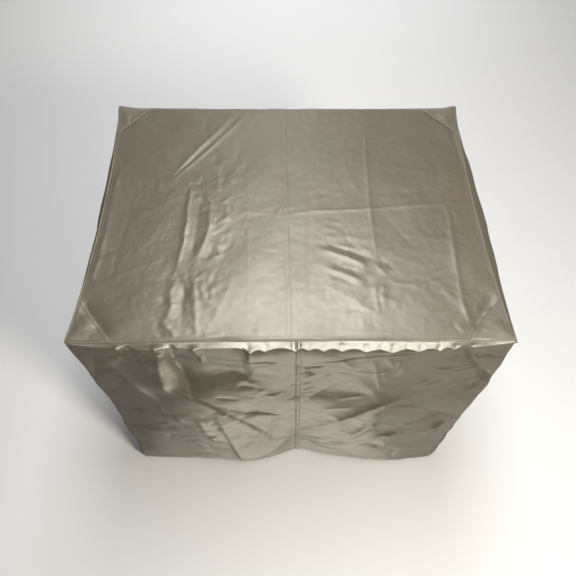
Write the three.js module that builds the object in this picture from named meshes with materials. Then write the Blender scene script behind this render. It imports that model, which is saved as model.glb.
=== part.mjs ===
// A fitted cover for a fire pit table, as it hangs: two top panels and two skirt panels, joined by a felled
// seam down the middle, a bound edge round the top and a sewn patch on each top corner.
// Millimetres. The origin is the middle of the underside of the top, X to the right, Y to the back, Z up.
import * as THREE from "three";

// Driving sizes
const WIDTH = 730; // top, corner to corner along X
const DEPTH = 570; // top, corner to corner along Y
const DROP = 640; // cloth from the top edge to the hem
const CLOTH = 2; // coated cloth with its backing
const GAP = 0.3; // between pieces that are sewn together

const BINDING = { half: 2.6, inset: 0.5, lift: 0.8 }; // bound edge: half its width, and where its middle lies
const SKIRT_TOP = BINDING.lift - BINDING.half - GAP; // height of the skirt's upper edge
const PANEL_INSET = BINDING.inset + BINDING.half + GAP; // from the corner line in to the panel's edge
const FELL = { width: 10, rise: 1, step: 2 }; // double layer of the felled seam, on the right panels
const HEM = { height: 24, extra: 1.2, step: 2 }; // turned-up hem
const PATCH = { cloth: 1.2, steps: 4 }; // corner patch, and how many grid steps its legs cover

// Steps of the grid, in millimetres. The first list runs from the middle seam out to a corner, the second
// from a corner to the middle of a side, the third from the top edge down to the hem.
const HALF_STEPS = [
  10, 2, 18, 22, 22, 22, 22, 22, 22, 22, 22, 22, 22, 22, 23, 18, 18, 18, 18,
];
const SIDE_STEPS = [20, 20, 20, 20, 31, 34, 35, 35, 35, 35];
const DROP_STEPS = [
  12, 12, 16, 20, 24, 28, 30, 30, 30, 31, 31, 32, 32, 32, 32, 32, 32, 32, 32, 32,
];

// How far the middle of each top edge is drawn in, and how far each top corner stands up.
const BOW = { front: 3, right: 11, back: 3, left: 13 };
const EARS = [
  { x: -1, y: -1, rise: 3 },
  { x: 1, y: -1, rise: 3 },
  { x: 1, y: 1, rise: 5 },
  { x: -1, y: 1, rise: 5 },
];
const EAR_REACH = 24;

// The middle seam isn't plumb: its place along X on the top, and on the skirt's upper edge and hem.
const TOP_SEAM = { front: -9, back: -15 };
const SKIRT_SEAM = { front: 7, frontHem: 20, back: -14, backHem: -22 };

// Slack that bellies out under each top edge, and the crease that ends it: peak, lowest place and depth there.
const SWAGS = {
  front: { out: 14, middle: 11, depth: 88 },
  right: { out: 22, middle: -30, depth: 76 },
  back: { out: 12, middle: 40, depth: 80 },
  left: { out: 12, middle: 20, depth: 70 },
};

// Along the front the slack first runs out as a sloping shelf: place along X and how wide the shelf is there.
const SHELF = [
  { along: -365, width: 5 },
  { along: -288, width: 9 },
  { along: -226, width: 11 },
  { along: -163, width: 12 },
  { along: -84, width: 15 },
  { along: -66, width: 22 },
  { along: 7, width: 19 },
  { along: 123, width: 21 },
  { along: 213, width: 20 },
  { along: 270, width: 18 },
  { along: 332, width: 10 },
  { along: 365, width: 5 },
];
const SHELF_FALL = { slope: 0.64, spent: 0.4, fade: 70 };

// Broad bellies (+) and hollows (-) of the skirt: place along the wall, distance below the top edge, half
// length along and down, lean in degrees and depth. Along is X on front and back, and Y on left and right.
const BELLIES = [
  { wall: "front", along: -176, down: 340, halfAlong: 100, halfDown: 190, lean: 6, out: 19 },
  { wall: "front", along: -128, down: 128, halfAlong: 74, halfDown: 42, lean: -8, out: -9 },
  { wall: "front", along: -318, down: 280, halfAlong: 30, halfDown: 150, lean: 4, out: -9 },
  { wall: "front", along: -118, down: 650, halfAlong: 88, halfDown: 220, lean: 0, out: 13 },
  { wall: "front", along: 28, down: 660, halfAlong: 48, halfDown: 260, lean: 0, out: -17 },
  { wall: "front", along: 245, down: 650, halfAlong: 110, halfDown: 250, lean: 0, out: 16 },
  { wall: "front", along: 150, down: 330, halfAlong: 110, halfDown: 120, lean: -20, out: 8 },
  { wall: "front", along: 318, down: 250, halfAlong: 30, halfDown: 120, lean: 0, out: -7 },
  { wall: "right", along: -232, down: 620, halfAlong: 58, halfDown: 170, lean: 0, out: 24 },
  { wall: "right", along: -262, down: 150, halfAlong: 56, halfDown: 150, lean: 0, out: 10 },
  { wall: "right", along: -268, down: 400, halfAlong: 50, halfDown: 180, lean: 0, out: 7 },
  { wall: "right", along: -60, down: 660, halfAlong: 190, halfDown: 300, lean: 0, out: 18 },
  { wall: "right", along: 150, down: 360, halfAlong: 90, halfDown: 180, lean: 10, out: -9 },
  { wall: "right", along: 240, down: 600, halfAlong: 70, halfDown: 240, lean: 0, out: 8 },
  { wall: "back", along: -190, down: 640, halfAlong: 100, halfDown: 260, lean: 0, out: 15 },
  { wall: "back", along: -14, down: 650, halfAlong: 55, halfDown: 250, lean: 0, out: -18 },
  { wall: "back", along: 170, down: 640, halfAlong: 95, halfDown: 240, lean: 0, out: 14 },
  { wall: "back", along: 120, down: 260, halfAlong: 100, halfDown: 130, lean: 15, out: -8 },
  { wall: "back", along: -240, down: 280, halfAlong: 90, halfDown: 150, lean: -10, out: 9 },
  { wall: "left", along: -272, down: 470, halfAlong: 58, halfDown: 230, lean: 0, out: 9 },
  { wall: "left", along: -180, down: 600, halfAlong: 60, halfDown: 200, lean: 0, out: 8 },
  { wall: "left", along: -40, down: 420, halfAlong: 110, halfDown: 200, lean: 12, out: -10 },
  { wall: "left", along: 150, down: 640, halfAlong: 110, halfDown: 280, lean: 0, out: 16 },
];

// Folds of the skirt, ridges (+) and troughs (-): the line along and down the wall, half width, how much wider
// the flank on the line's right is, and depth.
const WALL_FOLDS = [
  {
    wall: "front",
    line: [[-275, 150], [-220, 207], [-158, 291], [-125, 355], [-20, 530]],
    half: 12, flank: 2.4, out: 11,
  },
  {
    wall: "front",
    line: [[-199, 185], [-128, 309], [-57, 319], [20, 339]],
    half: 14, flank: 1, out: -5,
  },
  { wall: "front", line: [[-217, -4], [-228, 107], [-237, 210]], half: 26, flank: 0.6, out: 11 },
  { wall: "front", line: [[-208, 4], [-202, 100], [-188, 220]], half: 13, flank: 2, out: -10 },
  { wall: "front", line: [[-168, 325], [-134, 528], [-112, 690]], half: 22, flank: 1, out: 8 },
  { wall: "front", line: [[-195, 290], [-183, 404], [-140, 504]], half: 17, flank: 1, out: 4 },
  {
    wall: "front",
    line: [[10, 468], [118, 346], [179, 295], [270, 242]],
    half: 16, flank: 1.3, out: 9,
  },
  { wall: "front", line: [[93, 531], [150, 387], [205, 299]], half: 15, flank: 1, out: 6 },
  {
    wall: "front",
    line: [[123, 532], [186, 442], [222, 348], [259, 300]],
    half: 15, flank: 1, out: 6,
  },
  { wall: "front", line: [[243, 210], [312, 350], [354, 391]], half: 15, flank: 1, out: -8 },
  { wall: "front", line: [[354, 371], [299, 478]], half: 15, flank: 1, out: 6 },
  {
    wall: "front",
    line: [[285, 17], [321, 64], [345, 125], [372, 185]],
    half: 15, flank: 1, out: -8,
  },
  { wall: "front", line: [[-334, 40], [-303, 113], [-272, 234]], half: 15, flank: 1, out: 4 },
  { wall: "right", line: [[-270, 120], [-60, 420]], half: 20, flank: 1, out: -8 },
  { wall: "right", line: [[-40, 470], [180, 240]], half: 20, flank: 1, out: 7 },
  { wall: "right", line: [[230, 90], [120, 330]], half: 18, flank: 1, out: -7 },
  { wall: "back", line: [[-320, 110], [-90, 400]], half: 20, flank: 1, out: -8 },
  { wall: "back", line: [[60, 480], [300, 200]], half: 20, flank: 1, out: 7 },
  { wall: "back", line: [[-130, 380], [-110, 645]], half: 18, flank: 1, out: -6 },
  { wall: "left", line: [[250, 100], [40, 400]], half: 20, flank: 1, out: -8 },
  { wall: "left", line: [[-230, 160], [-60, 470]], half: 20, flank: 1, out: -7 },
  { wall: "left", line: [[40, 520], [190, 330]], half: 18, flank: 1, out: 6 },
];

// Folds of the top, ridges (+) and troughs (-): the line in X and Y, half width and height.
const TOP_FOLDS = [
  { line: [[-244, 56], [-183, 156], [-140, 215], [-98, 276]], half: 13, rise: 4.5 },
  {
    line: [[-193, 88], [-192, 38], [-192, -25], [-193, -76], [-201, -139], [-175, -162]],
    half: 13, rise: 3.4,
  },
  { line: [[-170, 30], [-172, -60], [-178, -128]], half: 12, rise: -2.6 },
  { line: [[-151, 28], [-149, -40], [-153, -76], [-170, -125]], half: 13, rise: 2.6 },
  { line: [[-196, -155], [-207, -194], [-201, -219], [-214, -259]], half: 13, rise: 3 },
  { line: [[-184, -160], [-184, -210], [-180, -270]], half: 12, rise: -2 },
  { line: [[-171, -150], [-164, -197], [-156, -276]], half: 12, rise: 2.6 },
  { line: [[-20, -22], [45, -8], [152, -3], [330, 16]], half: 12, rise: 1.8 },
  {
    line: [[163, 220], [156, 80], [153, -1], [155, -111], [147, -160], [149, -250]],
    half: 12, rise: 1.6,
  },
  { line: [[288, 60], [302, -9], [296, -115], [292, -210], [300, -270]], half: 12, rise: 2.2 },
  { line: [[44, -78], [104, -102], [152, -124]], half: 13, rise: -2.6 },
  { line: [[50, -94], [102, -116], [146, -142]], half: 13, rise: 4.4 },
  { line: [[52, -134], [100, -156], [138, -175]], half: 12, rise: 3 },
  { line: [[56, -170], [107, -206], [152, -242]], half: 12, rise: 2.4 },
  { line: [[50, 143], [340, 212]], half: 15, rise: -1.6 },
  { line: [[-337, 120], [-339, -39], [-340, -128], [-344, -174]], half: 12, rise: 2.2 },
  { line: [[-354, -192], [-288, -275]], half: 13, rise: -3 },
  { line: [[360, -196], [298, -273]], half: 13, rise: -3 },
];

const CREST = 0.22; // how blunt a fold is, as a share of its half width
const TAPER = 0.3; // share of a fold's length over which it fades in, and out again
// How far from the top edge folds and bellies come in, on the top and down a wall.
const RIM = { top: 20, wall: 30 };

// Rounding of each upright edge of the skirt, which grows between two distances below the top edge.
const CORNERS = [
  { walls: ["front", "right"], x: 1, y: -1, round: 26, from: 220, to: 620 },
  { walls: ["right", "back"], x: 1, y: 1, round: 36, from: 0, to: 220 },
  { walls: ["back", "left"], x: -1, y: 1, round: 36, from: 0, to: 220 },
  { walls: ["left", "front"], x: -1, y: -1, round: 8, from: 0, to: 300 },
];

const COLOURS = { cloth: 0x8d8575, binding: 0x7d7566, patch: 0x8a8272 };

const WALLS = {
  front: { normal: [0, -1], length: WIDTH },
  right: { normal: [1, 0], length: DEPTH },
  back: { normal: [0, 1], length: WIDTH },
  left: { normal: [-1, 0], length: DEPTH },
};

const clamp01 = (t) => Math.min(1, Math.max(0, t));
const smooth = (low, high, value) => {
  const t = clamp01((value - low) / (high - low));
  return t * t * (3 - 2 * t);
};
const mix = (a, b, t) => a + (b - a) * t;
const running = (steps) =>
  steps.reduce((list, step) => [...list, list.at(-1) + step], [0]);

const HALF_MARKS = running(HALF_STEPS).map(
  (mark, i, marks) => mark / marks.at(-1),
);
const SIDE_HALF = running(SIDE_STEPS);
const SIDE_MARKS = [
  ...SIDE_HALF,
  ...SIDE_HALF.slice(0, -1)
    .reverse()
    .map((mark) => 2 * SIDE_HALF.at(-1) - mark),
].map((mark) => mark / (2 * SIDE_HALF.at(-1)));
const DROP_MARKS = [
  ...running(DROP_STEPS)
    .map((mark, i, marks) => (mark / marks.at(-1)) * (DROP - HEM.height - HEM.step)),
  DROP - HEM.height,
  DROP,
];

// Share of a fold that a point feels: a soft line of points that fades at both ends.
function onFold(p, { line, half, flank = 1 }) {
  let nearest = Infinity;
  let travelled = 0;
  let right = false;
  let total = 0;
  for (let k = 0; k + 1 < line.length; k++) {
    const [from, to] = [line[k], line[k + 1]];
    const run = [to[0] - from[0], to[1] - from[1]];
    const length = Math.hypot(...run);
    const ahead = ((p[0] - from[0]) * run[0] + (p[1] - from[1]) * run[1]) / length;
    const aside = ((p[0] - from[0]) * run[1] - (p[1] - from[1]) * run[0]) / length;
    const held = Math.min(length, Math.max(0, ahead));
    const distance = Math.hypot(ahead - held, aside);
    if (distance < nearest) {
      nearest = distance;
      travelled = total + held;
      right = aside > 0;
    }
    total += length;
  }
  const fade = total * TAPER;
  const ends = smooth(0, fade, travelled) * smooth(0, fade, total - travelled);
  const width = right ? half * flank : half;
  return ends * Math.exp(CREST - Math.hypot(nearest / width, CREST));
}

// Height of the top's underside.
function topRise(x, y) {
  let rise = 0;
  for (const fold of TOP_FOLDS) rise += fold.rise * onFold([x, y], fold);
  const inFromEdge = Math.min(WIDTH / 2 - Math.abs(x), DEPTH / 2 - Math.abs(y));
  rise *= smooth(0, RIM.top, inFromEdge);
  for (const ear of EARS) {
    const away = Math.hypot(x - (ear.x * WIDTH) / 2, y - (ear.y * DEPTH) / 2);
    rise += ear.rise * Math.exp(-((away / EAR_REACH) ** 2));
  }
  return rise;
}

// Width of the shelf under the front edge.
function shelfWidth(along) {
  const passed = SHELF.filter((mark) => mark.along < along).length;
  const next = Math.min(Math.max(passed, 1), SHELF.length - 1);
  const [a, b] = [SHELF[next - 1], SHELF[next]];
  return mix(a.width, b.width, clamp01((along - a.along) / (b.along - a.along)));
}

// How far the slack under a top edge stands out.
function swagOut(wall, along, down) {
  const half = WALLS[wall].length / 2;
  const swag = SWAGS[wall];
  const reach = Math.max(1, swag.depth * clamp01(1 - Math.abs(along - swag.middle) / (half + 12)));
  if (wall === "front") {
    const width = shelfWidth(along);
    const spent = clamp01((down - width) / Math.max(reach - width, 8));
    const past = Math.max(down - reach, 0);
    const out = SHELF_FALL.slope * width * Math.min(down / width, 1);
    return out * (1 - SHELF_FALL.spent * spent) * Math.exp(-past / SHELF_FALL.fade);
  }
  const slack = swag.out * Math.sqrt(reach / swag.depth);
  const share = down / reach;
  const lip = share < 1 ? Math.sin(Math.PI * share ** 0.7) : 0;
  return slack * lip + 0.3 * slack * Math.sin(Math.PI * clamp01(share / 2));
}

// How far a wall stands out from its flat plane.
function wallOut(wall, along, down) {
  const half = WALLS[wall].length / 2;
  const bow = -BOW[wall] * (1 - (along / half) ** 2);
  let out = swagOut(wall, along, down);
  const rim = smooth(0, RIM.wall, down);
  for (const belly of BELLIES) {
    if (belly.wall !== wall) continue;
    const lean = THREE.MathUtils.degToRad(belly.lean);
    const a = along - belly.along;
    const d = down - belly.down;
    const across = a * Math.cos(lean) + d * Math.sin(lean);
    const below = d * Math.cos(lean) - a * Math.sin(lean);
    const share =
      Math.exp(-((across / belly.halfAlong) ** 2)) *
      Math.exp(-((below / belly.halfDown) ** 2));
    out += belly.out * share * rim;
  }
  for (const fold of WALL_FOLDS) {
    if (fold.wall === wall) out += fold.out * onFold([along, down], fold) * rim;
  }
  return out + bow * mix(1, 0.4, smooth(0, 300, down));
}

// Where a point of the skirt's outer face lies in plan. At the top edge it is the corner line of the cover.
function wallPlan(wall, along, down) {
  const { normal, length } = WALLS[wall];
  const onX = normal[0] === 0;
  const flat = onX
    ? [along, (normal[1] * DEPTH) / 2]
    : [(normal[0] * WIDTH) / 2, along];
  const out = wallOut(wall, along, down);
  const plan = [flat[0] + normal[0] * out, flat[1] + normal[1] * out];
  for (const corner of CORNERS) {
    if (!corner.walls.includes(wall)) continue;
    const end = ((onX ? corner.x : corner.y) * length) / 2;
    const away = Math.abs(end - along);
    // the other wall's own belly at the corner is carried a little way round it
    const other = corner.walls.find((name) => name !== wall);
    const otherEnd = ((onX ? corner.y : corner.x) * WALLS[other].length) / 2;
    const carried =
      wallOut(other, otherEnd, down) * Math.exp(-((away / 40) ** 2));
    plan[0] += WALLS[other].normal[0] * carried;
    plan[1] += WALLS[other].normal[1] * carried;
    const round = corner.round * smooth(corner.from, corner.to, down);
    if (away < round) {
      // a quadratic curve that starts and ends at this distance from the corner
      const t = 0.5 + away / (2 * round);
      const inward = [-corner.x, -corner.y];
      const own = onX ? 0 : 1;
      plan[own] += inward[own] * (t * t * round - away);
      plan[1 - own] += inward[1 - own] * (1 - t) * (1 - t) * round;
    }
  }
  return plan;
}

// A closed sheet from two grids of points, the outer face and the inner face behind it.
function sheetGeometry(outer, inner, splitsForward = () => true) {
  const columns = outer.length;
  const rows = outer[0].length;
  const positions = [...outer.flat(), ...inner.flat()].flat();
  const at = (i, j) => i * rows + j;
  const behind = columns * rows;
  const index = [];
  const quad = (a, b, c, d) => index.push(a, b, c, a, c, d);
  for (let i = 0; i + 1 < columns; i++) {
    for (let j = 0; j + 1 < rows; j++) {
      const [a, b, c, d] = [at(i, j), at(i + 1, j), at(i + 1, j + 1), at(i, j + 1)];
      if (splitsForward(i, j)) quad(a, b, c, d);
      else quad(b, c, d, a);
      if (splitsForward(i, j)) quad(c + behind, b + behind, a + behind, d + behind);
      else quad(d + behind, c + behind, b + behind, a + behind);
    }
  }
  const rim = (a, b) => quad(b, a, a + behind, b + behind);
  for (let i = 0; i + 1 < columns; i++) {
    rim(at(i, 0), at(i + 1, 0));
    rim(at(i + 1, rows - 1), at(i, rows - 1));
  }
  for (let j = 0; j + 1 < rows; j++) {
    rim(at(columns - 1, j), at(columns - 1, j + 1));
    rim(at(0, j + 1), at(0, j));
  }
  const geometry = new THREE.BufferGeometry();
  geometry.setAttribute(
    "position",
    new THREE.Float32BufferAttribute(positions, 3),
  );
  geometry.setIndex(index);
  geometry.computeVertexNormals();
  return geometry;
}

function clothMesh(name, geometry, colour) {
  const material = new THREE.MeshStandardMaterial({
    color: colour,
    roughness: 0.45,
    metalness: 0,
    side: THREE.DoubleSide,
  });
  const mesh = new THREE.Mesh(geometry, material);
  mesh.name = name;
  return mesh;
}

// Plan of one half of the top: the seam on one side, the bound edge on the other three.
function topPlan(side, halfMark, sideMark, inset) {
  const line = mix(TOP_SEAM.front, TOP_SEAM.back, sideMark);
  const seam = line + (side * GAP) / 2;
  const flatY = mix(-DEPTH / 2, DEPTH / 2, sideMark);
  const flatX = mix(line, (side * WIDTH) / 2, halfMark);
  const wall = side > 0 ? "right" : "left";
  const edgeX = side * (WIDTH / 2 + wallOut(wall, flatY, 0) - inset);
  const frontY = -DEPTH / 2 - wallOut("front", flatX, 0) + inset;
  const backY = DEPTH / 2 + wallOut("back", flatX, 0) - inset;
  return [mix(seam, edgeX, halfMark), mix(frontY, backY, sideMark)];
}

// One half of the top. The right half carries the second layer of the felled seam.
function topPanel(name, side) {
  const under = [];
  const over = [];
  const halfMarks = side > 0 ? HALF_MARKS : [...HALF_MARKS].reverse();
  for (const halfMark of halfMarks) {
    const fell = side > 0 && halfMark <= HALF_MARKS[1] ? FELL.rise : 0;
    const plans = SIDE_MARKS.map((mark) => topPlan(side, halfMark, mark, PANEL_INSET));
    under.push(plans.map(([x, y]) => [x, y, topRise(x, y)]));
    over.push(plans.map(([x, y]) => [x, y, topRise(x, y) + CLOTH + fell]));
  }
  const middle = (SIDE_MARKS.length - 1) / 2;
  const splits = (i, j) => (side > 0 ? j < middle : j >= middle);
  return clothMesh(name, sheetGeometry(over, under, splits), COLOURS.cloth);
}

// A patch on one corner of the top, on the grid of the panel beneath it.
function cornerPatch(name, side, end) {
  const steps = PATCH.steps;
  const halfMarks = [...HALF_MARKS].reverse().slice(0, steps + 1);
  const sideMarks = end < 0 ? SIDE_MARKS : [...SIDE_MARKS].reverse();
  const positions = [];
  const rowsOf = [];
  for (const lift of [CLOTH + GAP, CLOTH + GAP + PATCH.cloth]) {
    const rows = [];
    for (let i = 0; i <= steps; i++) {
      const row = [];
      for (let j = 0; i + j <= steps; j++) {
        const [x, y] = topPlan(side, halfMarks[i], sideMarks[j], PANEL_INSET);
        row.push(positions.length / 3);
        positions.push(x, y, topRise(x, y) + lift);
      }
      rows.push(row);
    }
    rowsOf.push(rows);
  }
  const index = [];
  const turned = side * end < 0;
  const face = (a, b, c) => index.push(...(turned ? [a, c, b] : [a, b, c]));
  const [under, over] = rowsOf;
  for (let i = 0; i < steps; i++) {
    for (let j = 0; i + j < steps; j++) {
      face(over[i][j], over[i + 1][j], over[i][j + 1]);
      face(under[i][j], under[i][j + 1], under[i + 1][j]);
      if (i + j + 1 < steps) {
        face(over[i + 1][j], over[i + 1][j + 1], over[i][j + 1]);
        face(under[i + 1][j], under[i][j + 1], under[i + 1][j + 1]);
      }
    }
  }
  const wallFace = (a, b, c, d) => {
    face(a, b, c);
    face(a, c, d);
  };
  for (let k = 0; k < steps; k++) {
    wallFace(under[k][0], under[k + 1][0], over[k + 1][0], over[k][0]);
    wallFace(under[0][k + 1], under[0][k], over[0][k], over[0][k + 1]);
    const [i, j] = [steps - k, k];
    wallFace(under[i][j], under[i - 1][j + 1], over[i - 1][j + 1], over[i][j]);
  }
  const geometry = new THREE.BufferGeometry();
  geometry.setAttribute(
    "position",
    new THREE.Float32BufferAttribute(positions, 3),
  );
  geometry.setIndex(index);
  geometry.computeVertexNormals();
  return clothMesh(name, geometry, COLOURS.patch);
}

// The stations of one skirt panel along the cover's outline, from the front seam round the side to the back seam.
function skirtStations(side) {
  const wall = side > 0 ? "right" : "left";
  const corner = (side * WIDTH) / 2;
  const front = HALF_MARKS.map((mark) => ({
    wall: "front",
    along: (down) =>
      mix(mix(SKIRT_SEAM.front, SKIRT_SEAM.frontHem, down / DROP), corner, mark),
  }));
  const sides = SIDE_MARKS.slice(1, -1).map((mark) => ({
    wall,
    along: () => mix(-DEPTH / 2, DEPTH / 2, mark),
  }));
  const back = [...HALF_MARKS].reverse().map((mark) => ({
    wall: "back",
    along: (down) =>
      mix(mix(SKIRT_SEAM.back, SKIRT_SEAM.backHem, down / DROP), corner, mark),
  }));
  return [...front, ...sides, ...back];
}

// Mitre that moves a corner of an outline square to both of its legs.
function mitre(before, here, after) {
  const leg = (p, q) => {
    const length = Math.hypot(q[0] - p[0], q[1] - p[1]);
    return [(q[1] - p[1]) / length, -(q[0] - p[0]) / length];
  };
  const m = leg(before, here);
  const n = leg(here, after);
  const share = 1 + m[0] * n[0] + m[1] * n[1];
  return [(m[0] + n[0]) / share, (m[1] + n[1]) / share];
}

// One skirt panel. Its length down the wall is kept, so the hem rides up where the cloth bellies.
function skirtPanel(name, side) {
  const stations = skirtStations(side);
  const plans = stations.map(({ wall, along }) =>
    DROP_MARKS.map((down) => wallPlan(wall, along(down), down)),
  );
  const last = stations.length - 1;
  const outer = [];
  const inner = [];
  plans.forEach((column, i) => {
    const start = column[0];
    let z = SKIRT_TOP + topRise(start[0], start[1]);
    const front = [];
    const back = [];
    column.forEach((plan, j) => {
      if (j > 0) {
        const down = DROP_MARKS[j] - DROP_MARKS[j - 1];
        const moved = Math.hypot(
          plan[0] - column[j - 1][0],
          plan[1] - column[j - 1][1],
        );
        z -= Math.sqrt(Math.max(down ** 2 - moved ** 2, (0.6 * down) ** 2));
      }
      const hem = DROP_MARKS[j] >= DROP - HEM.height ? HEM.extra : 0;
      const fromSeam = Math.min(i, last - i);
      const fell = side > 0 && fromSeam <= 1 ? FELL.rise : 0;
      const atSeam = fromSeam === 0;
      const facing = i === 0 ? -1 : 1;
      const out = atSeam
        ? [0, facing]
        : mitre(plans[i - 1][j], plan, plans[i + 1][j]).map((m) => m * side);
      const x = plan[0] + (atSeam ? (side * GAP) / 2 : 0);
      const lift = hem / 2 + fell;
      front.push([x + out[0] * lift, plan[1] + out[1] * lift, z]);
      const depth = CLOTH + hem / 2;
      back.push([x - out[0] * depth, plan[1] - out[1] * depth, z]);
    });
    outer.push(front);
    inner.push(back);
  });
  if (side > 0) {
    outer.reverse();
    inner.reverse();
  }
  return clothMesh(name, sheetGeometry(outer, inner), COLOURS.cloth);
}

// The bound edge: a six-sided section carried round the corner line of the top.
function edgeBinding(name) {
  const right = skirtStations(1);
  const left = skirtStations(-1).reverse();
  const stations = [...right, ...left.slice(1, -1)];
  const outline = stations.map(({ wall, along }) => wallPlan(wall, along(0), 0));
  const kept = outline.filter((p, i) => {
    const q = outline[(i + 1) % outline.length];
    return Math.hypot(p[0] - q[0], p[1] - q[1]) > 3;
  });
  const sides = 6;
  const positions = [];
  kept.forEach((plan, i) => {
    const before = kept.at(i - 1);
    const after = kept[(i + 1) % kept.length];
    const out = mitre(before, plan, after);
    const z = topRise(plan[0], plan[1]) + BINDING.lift;
    for (let k = 0; k < sides; k++) {
      const turn = (2 * Math.PI * (k + 0.5)) / sides;
      const aside = BINDING.half * Math.cos(turn) - BINDING.inset;
      positions.push(
        plan[0] + out[0] * aside,
        plan[1] + out[1] * aside,
        z + BINDING.half * Math.sin(turn),
      );
    }
  });
  const index = [];
  kept.forEach((plan, i) => {
    const next = (i + 1) % kept.length;
    for (let k = 0; k < sides; k++) {
      const up = (k + 1) % sides;
      const [a, b] = [i * sides + k, next * sides + k];
      const [c, d] = [next * sides + up, i * sides + up];
      index.push(a, b, c, a, c, d);
    }
  });
  const geometry = new THREE.BufferGeometry();
  geometry.setAttribute(
    "position",
    new THREE.Float32BufferAttribute(positions, 3),
  );
  geometry.setIndex(index);
  geometry.computeVertexNormals();
  return clothMesh(name, geometry, COLOURS.binding);
}

const cover = new THREE.Group();
cover.add(topPanel("top_left", -1), topPanel("top_right", 1));
cover.add(skirtPanel("skirt_left", -1), skirtPanel("skirt_right", 1));
cover.add(edgeBinding("edge_binding"));
for (const [word, side] of [["left", -1], ["right", 1]]) {
  cover.add(cornerPatch("patch_front_" + word, side, -1));
  cover.add(cornerPatch("patch_back_" + word, side, 1));
}

export default cover;
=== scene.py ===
"""Dress a fitted fire pit cover: satin cloth panels, felled seam, bound edge, corner patches and stitches.

Lengths in the tables are millimetres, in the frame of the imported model: the origin is the middle of the
underside of the top, X runs to the right, Y to the back and Z up. Meshes are written in metres.
"""

from __future__ import annotations

import logging
import math
from dataclasses import dataclass
from enum import Enum

import bpy
import numpy as np
from mathutils import Matrix

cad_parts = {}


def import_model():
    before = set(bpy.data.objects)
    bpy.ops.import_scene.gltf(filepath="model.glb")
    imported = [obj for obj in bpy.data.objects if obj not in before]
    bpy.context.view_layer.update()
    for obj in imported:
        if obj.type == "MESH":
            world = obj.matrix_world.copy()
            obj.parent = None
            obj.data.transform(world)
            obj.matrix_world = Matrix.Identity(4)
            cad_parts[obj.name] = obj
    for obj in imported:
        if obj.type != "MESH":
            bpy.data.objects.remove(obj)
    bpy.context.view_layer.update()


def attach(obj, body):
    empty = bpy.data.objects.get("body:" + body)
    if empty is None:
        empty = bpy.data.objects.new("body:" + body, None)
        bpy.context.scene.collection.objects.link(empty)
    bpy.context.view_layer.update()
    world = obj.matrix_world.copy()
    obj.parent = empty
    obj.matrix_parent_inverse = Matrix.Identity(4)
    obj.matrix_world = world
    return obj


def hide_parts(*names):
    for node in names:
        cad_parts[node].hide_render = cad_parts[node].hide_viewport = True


LOG = logging.getLogger("cover")
MM = 0.001
Array = np.ndarray
Colour = tuple[float, float, float]
StitchPath = tuple[Array, Array]  # points on the cloth and the normals there
Inputs = dict[str | int, object]  # for inputs of a shader node, by name or number, a value or an output
TINY = 1e-9


class Side(Enum):
    """The two halves of the cover, as the sign of X."""

    LEFT = -1
    RIGHT = 1


class Wall(Enum):
    """The four walls of the skirt, as the outward direction of each in plan."""

    FRONT = (0, -1)
    RIGHT = (1, 0)
    BACK = (0, 1)
    LEFT = (-1, 0)

    @property
    def runs_along_x(self) -> bool:
        """Whether the wall runs along X."""
        return self.value[0] == 0


@dataclass(frozen=True)
class CoverSize:
    """Driving sizes of the cover, the same as those of its solids."""

    width: float = 730.0
    depth: float = 570.0
    drop: float = 640.0
    solid_cloth: float = 2.0
    gap: float = 0.3
    binding_half: float = 2.6
    binding_inset: float = 0.5
    binding_lift: float = 0.8
    hem_height: float = 24.0

    def half(self, wall: Wall) -> float:
        """Half the length of a wall."""
        return (self.width if wall.runs_along_x else self.depth) / 2

    @property
    def skirt_top(self) -> float:
        """Height of the skirt's upper edge."""
        return self.binding_lift - self.binding_half - self.gap

    @property
    def panel_inset(self) -> float:
        """How far a top panel's edge lies in from the corner line."""
        return self.binding_inset + self.binding_half + self.gap


@dataclass(frozen=True)
class SeamLine:
    """Where the middle seam lies along X, on the top and down both walls."""

    top_front: float = -9.0
    top_back: float = -15.0
    front: float = 7.0
    front_hem: float = 20.0
    back: float = -14.0
    back_hem: float = -22.0


@dataclass(frozen=True)
class Shelf:
    """The sloping shelf under the front edge, and how the cloth falls from it.

    Each mark is a place along the wall and the width of the shelf there. Between two marks the shelf draws
    in by the hill, not at all where it is narrower than plain and fully where it is wider than full. Below
    it the scallops settle, the slack is spent, and a small step ends it.
    """

    marks: tuple[tuple[float, float], ...]
    hill: float = 9.0
    sharpness: float = 0.8
    plain: float = 12.0
    full: float = 20.0
    slope: float = 0.64
    settle: float = 14.0
    shortest_fall: float = 8.0
    spent: float = 0.4
    fade: float = 70.0
    step: float = 1.8
    step_ease: float = 2.5
    step_fade: float = 25.0

    def width(self, along: Array, hill: float) -> Array:
        """Width of the shelf.

        Args:
            along: Where the points lie along the wall.
            hill: How far the shelf draws in between its marks.

        Returns:
            The widths.
        """
        places, widths = np.array(self.marks, dtype=float).T
        width = np.interp(along, places, widths)
        between = np.interp(along, places, np.arange(len(places))) % 1
        scallop = np.sin(math.pi * between) ** self.sharpness
        return width - hill * scallop * smooth(self.plain, self.full, width)


@dataclass(frozen=True)
class Swag:
    """Slack that bellies out under a top edge and ends at a crease.

    The crease is lowest at one place along the wall and would meet the edge a little past both corners.
    Where the swag has a shelf, the cloth runs out straight under the edge and then turns down.
    """

    out: float
    middle: float
    depth: float
    shelf: Shelf | None = None
    swell: float = 0.9
    past: float = 12.0
    lip: float = 0.7
    hang: float = 0.3


@dataclass(frozen=True)
class Belly:
    """A broad belly (+) or hollow (-) of a wall."""

    wall: Wall
    along: float
    down: float
    half_along: float
    half_down: float
    lean: float
    out: float


@dataclass(frozen=True)
class Fold:
    """A crease along a line of points: its half width, its height, and how much wider its right flank is."""

    line: tuple[tuple[float, float], ...]
    half: float
    rise: float
    flank: float = 1.0


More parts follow.
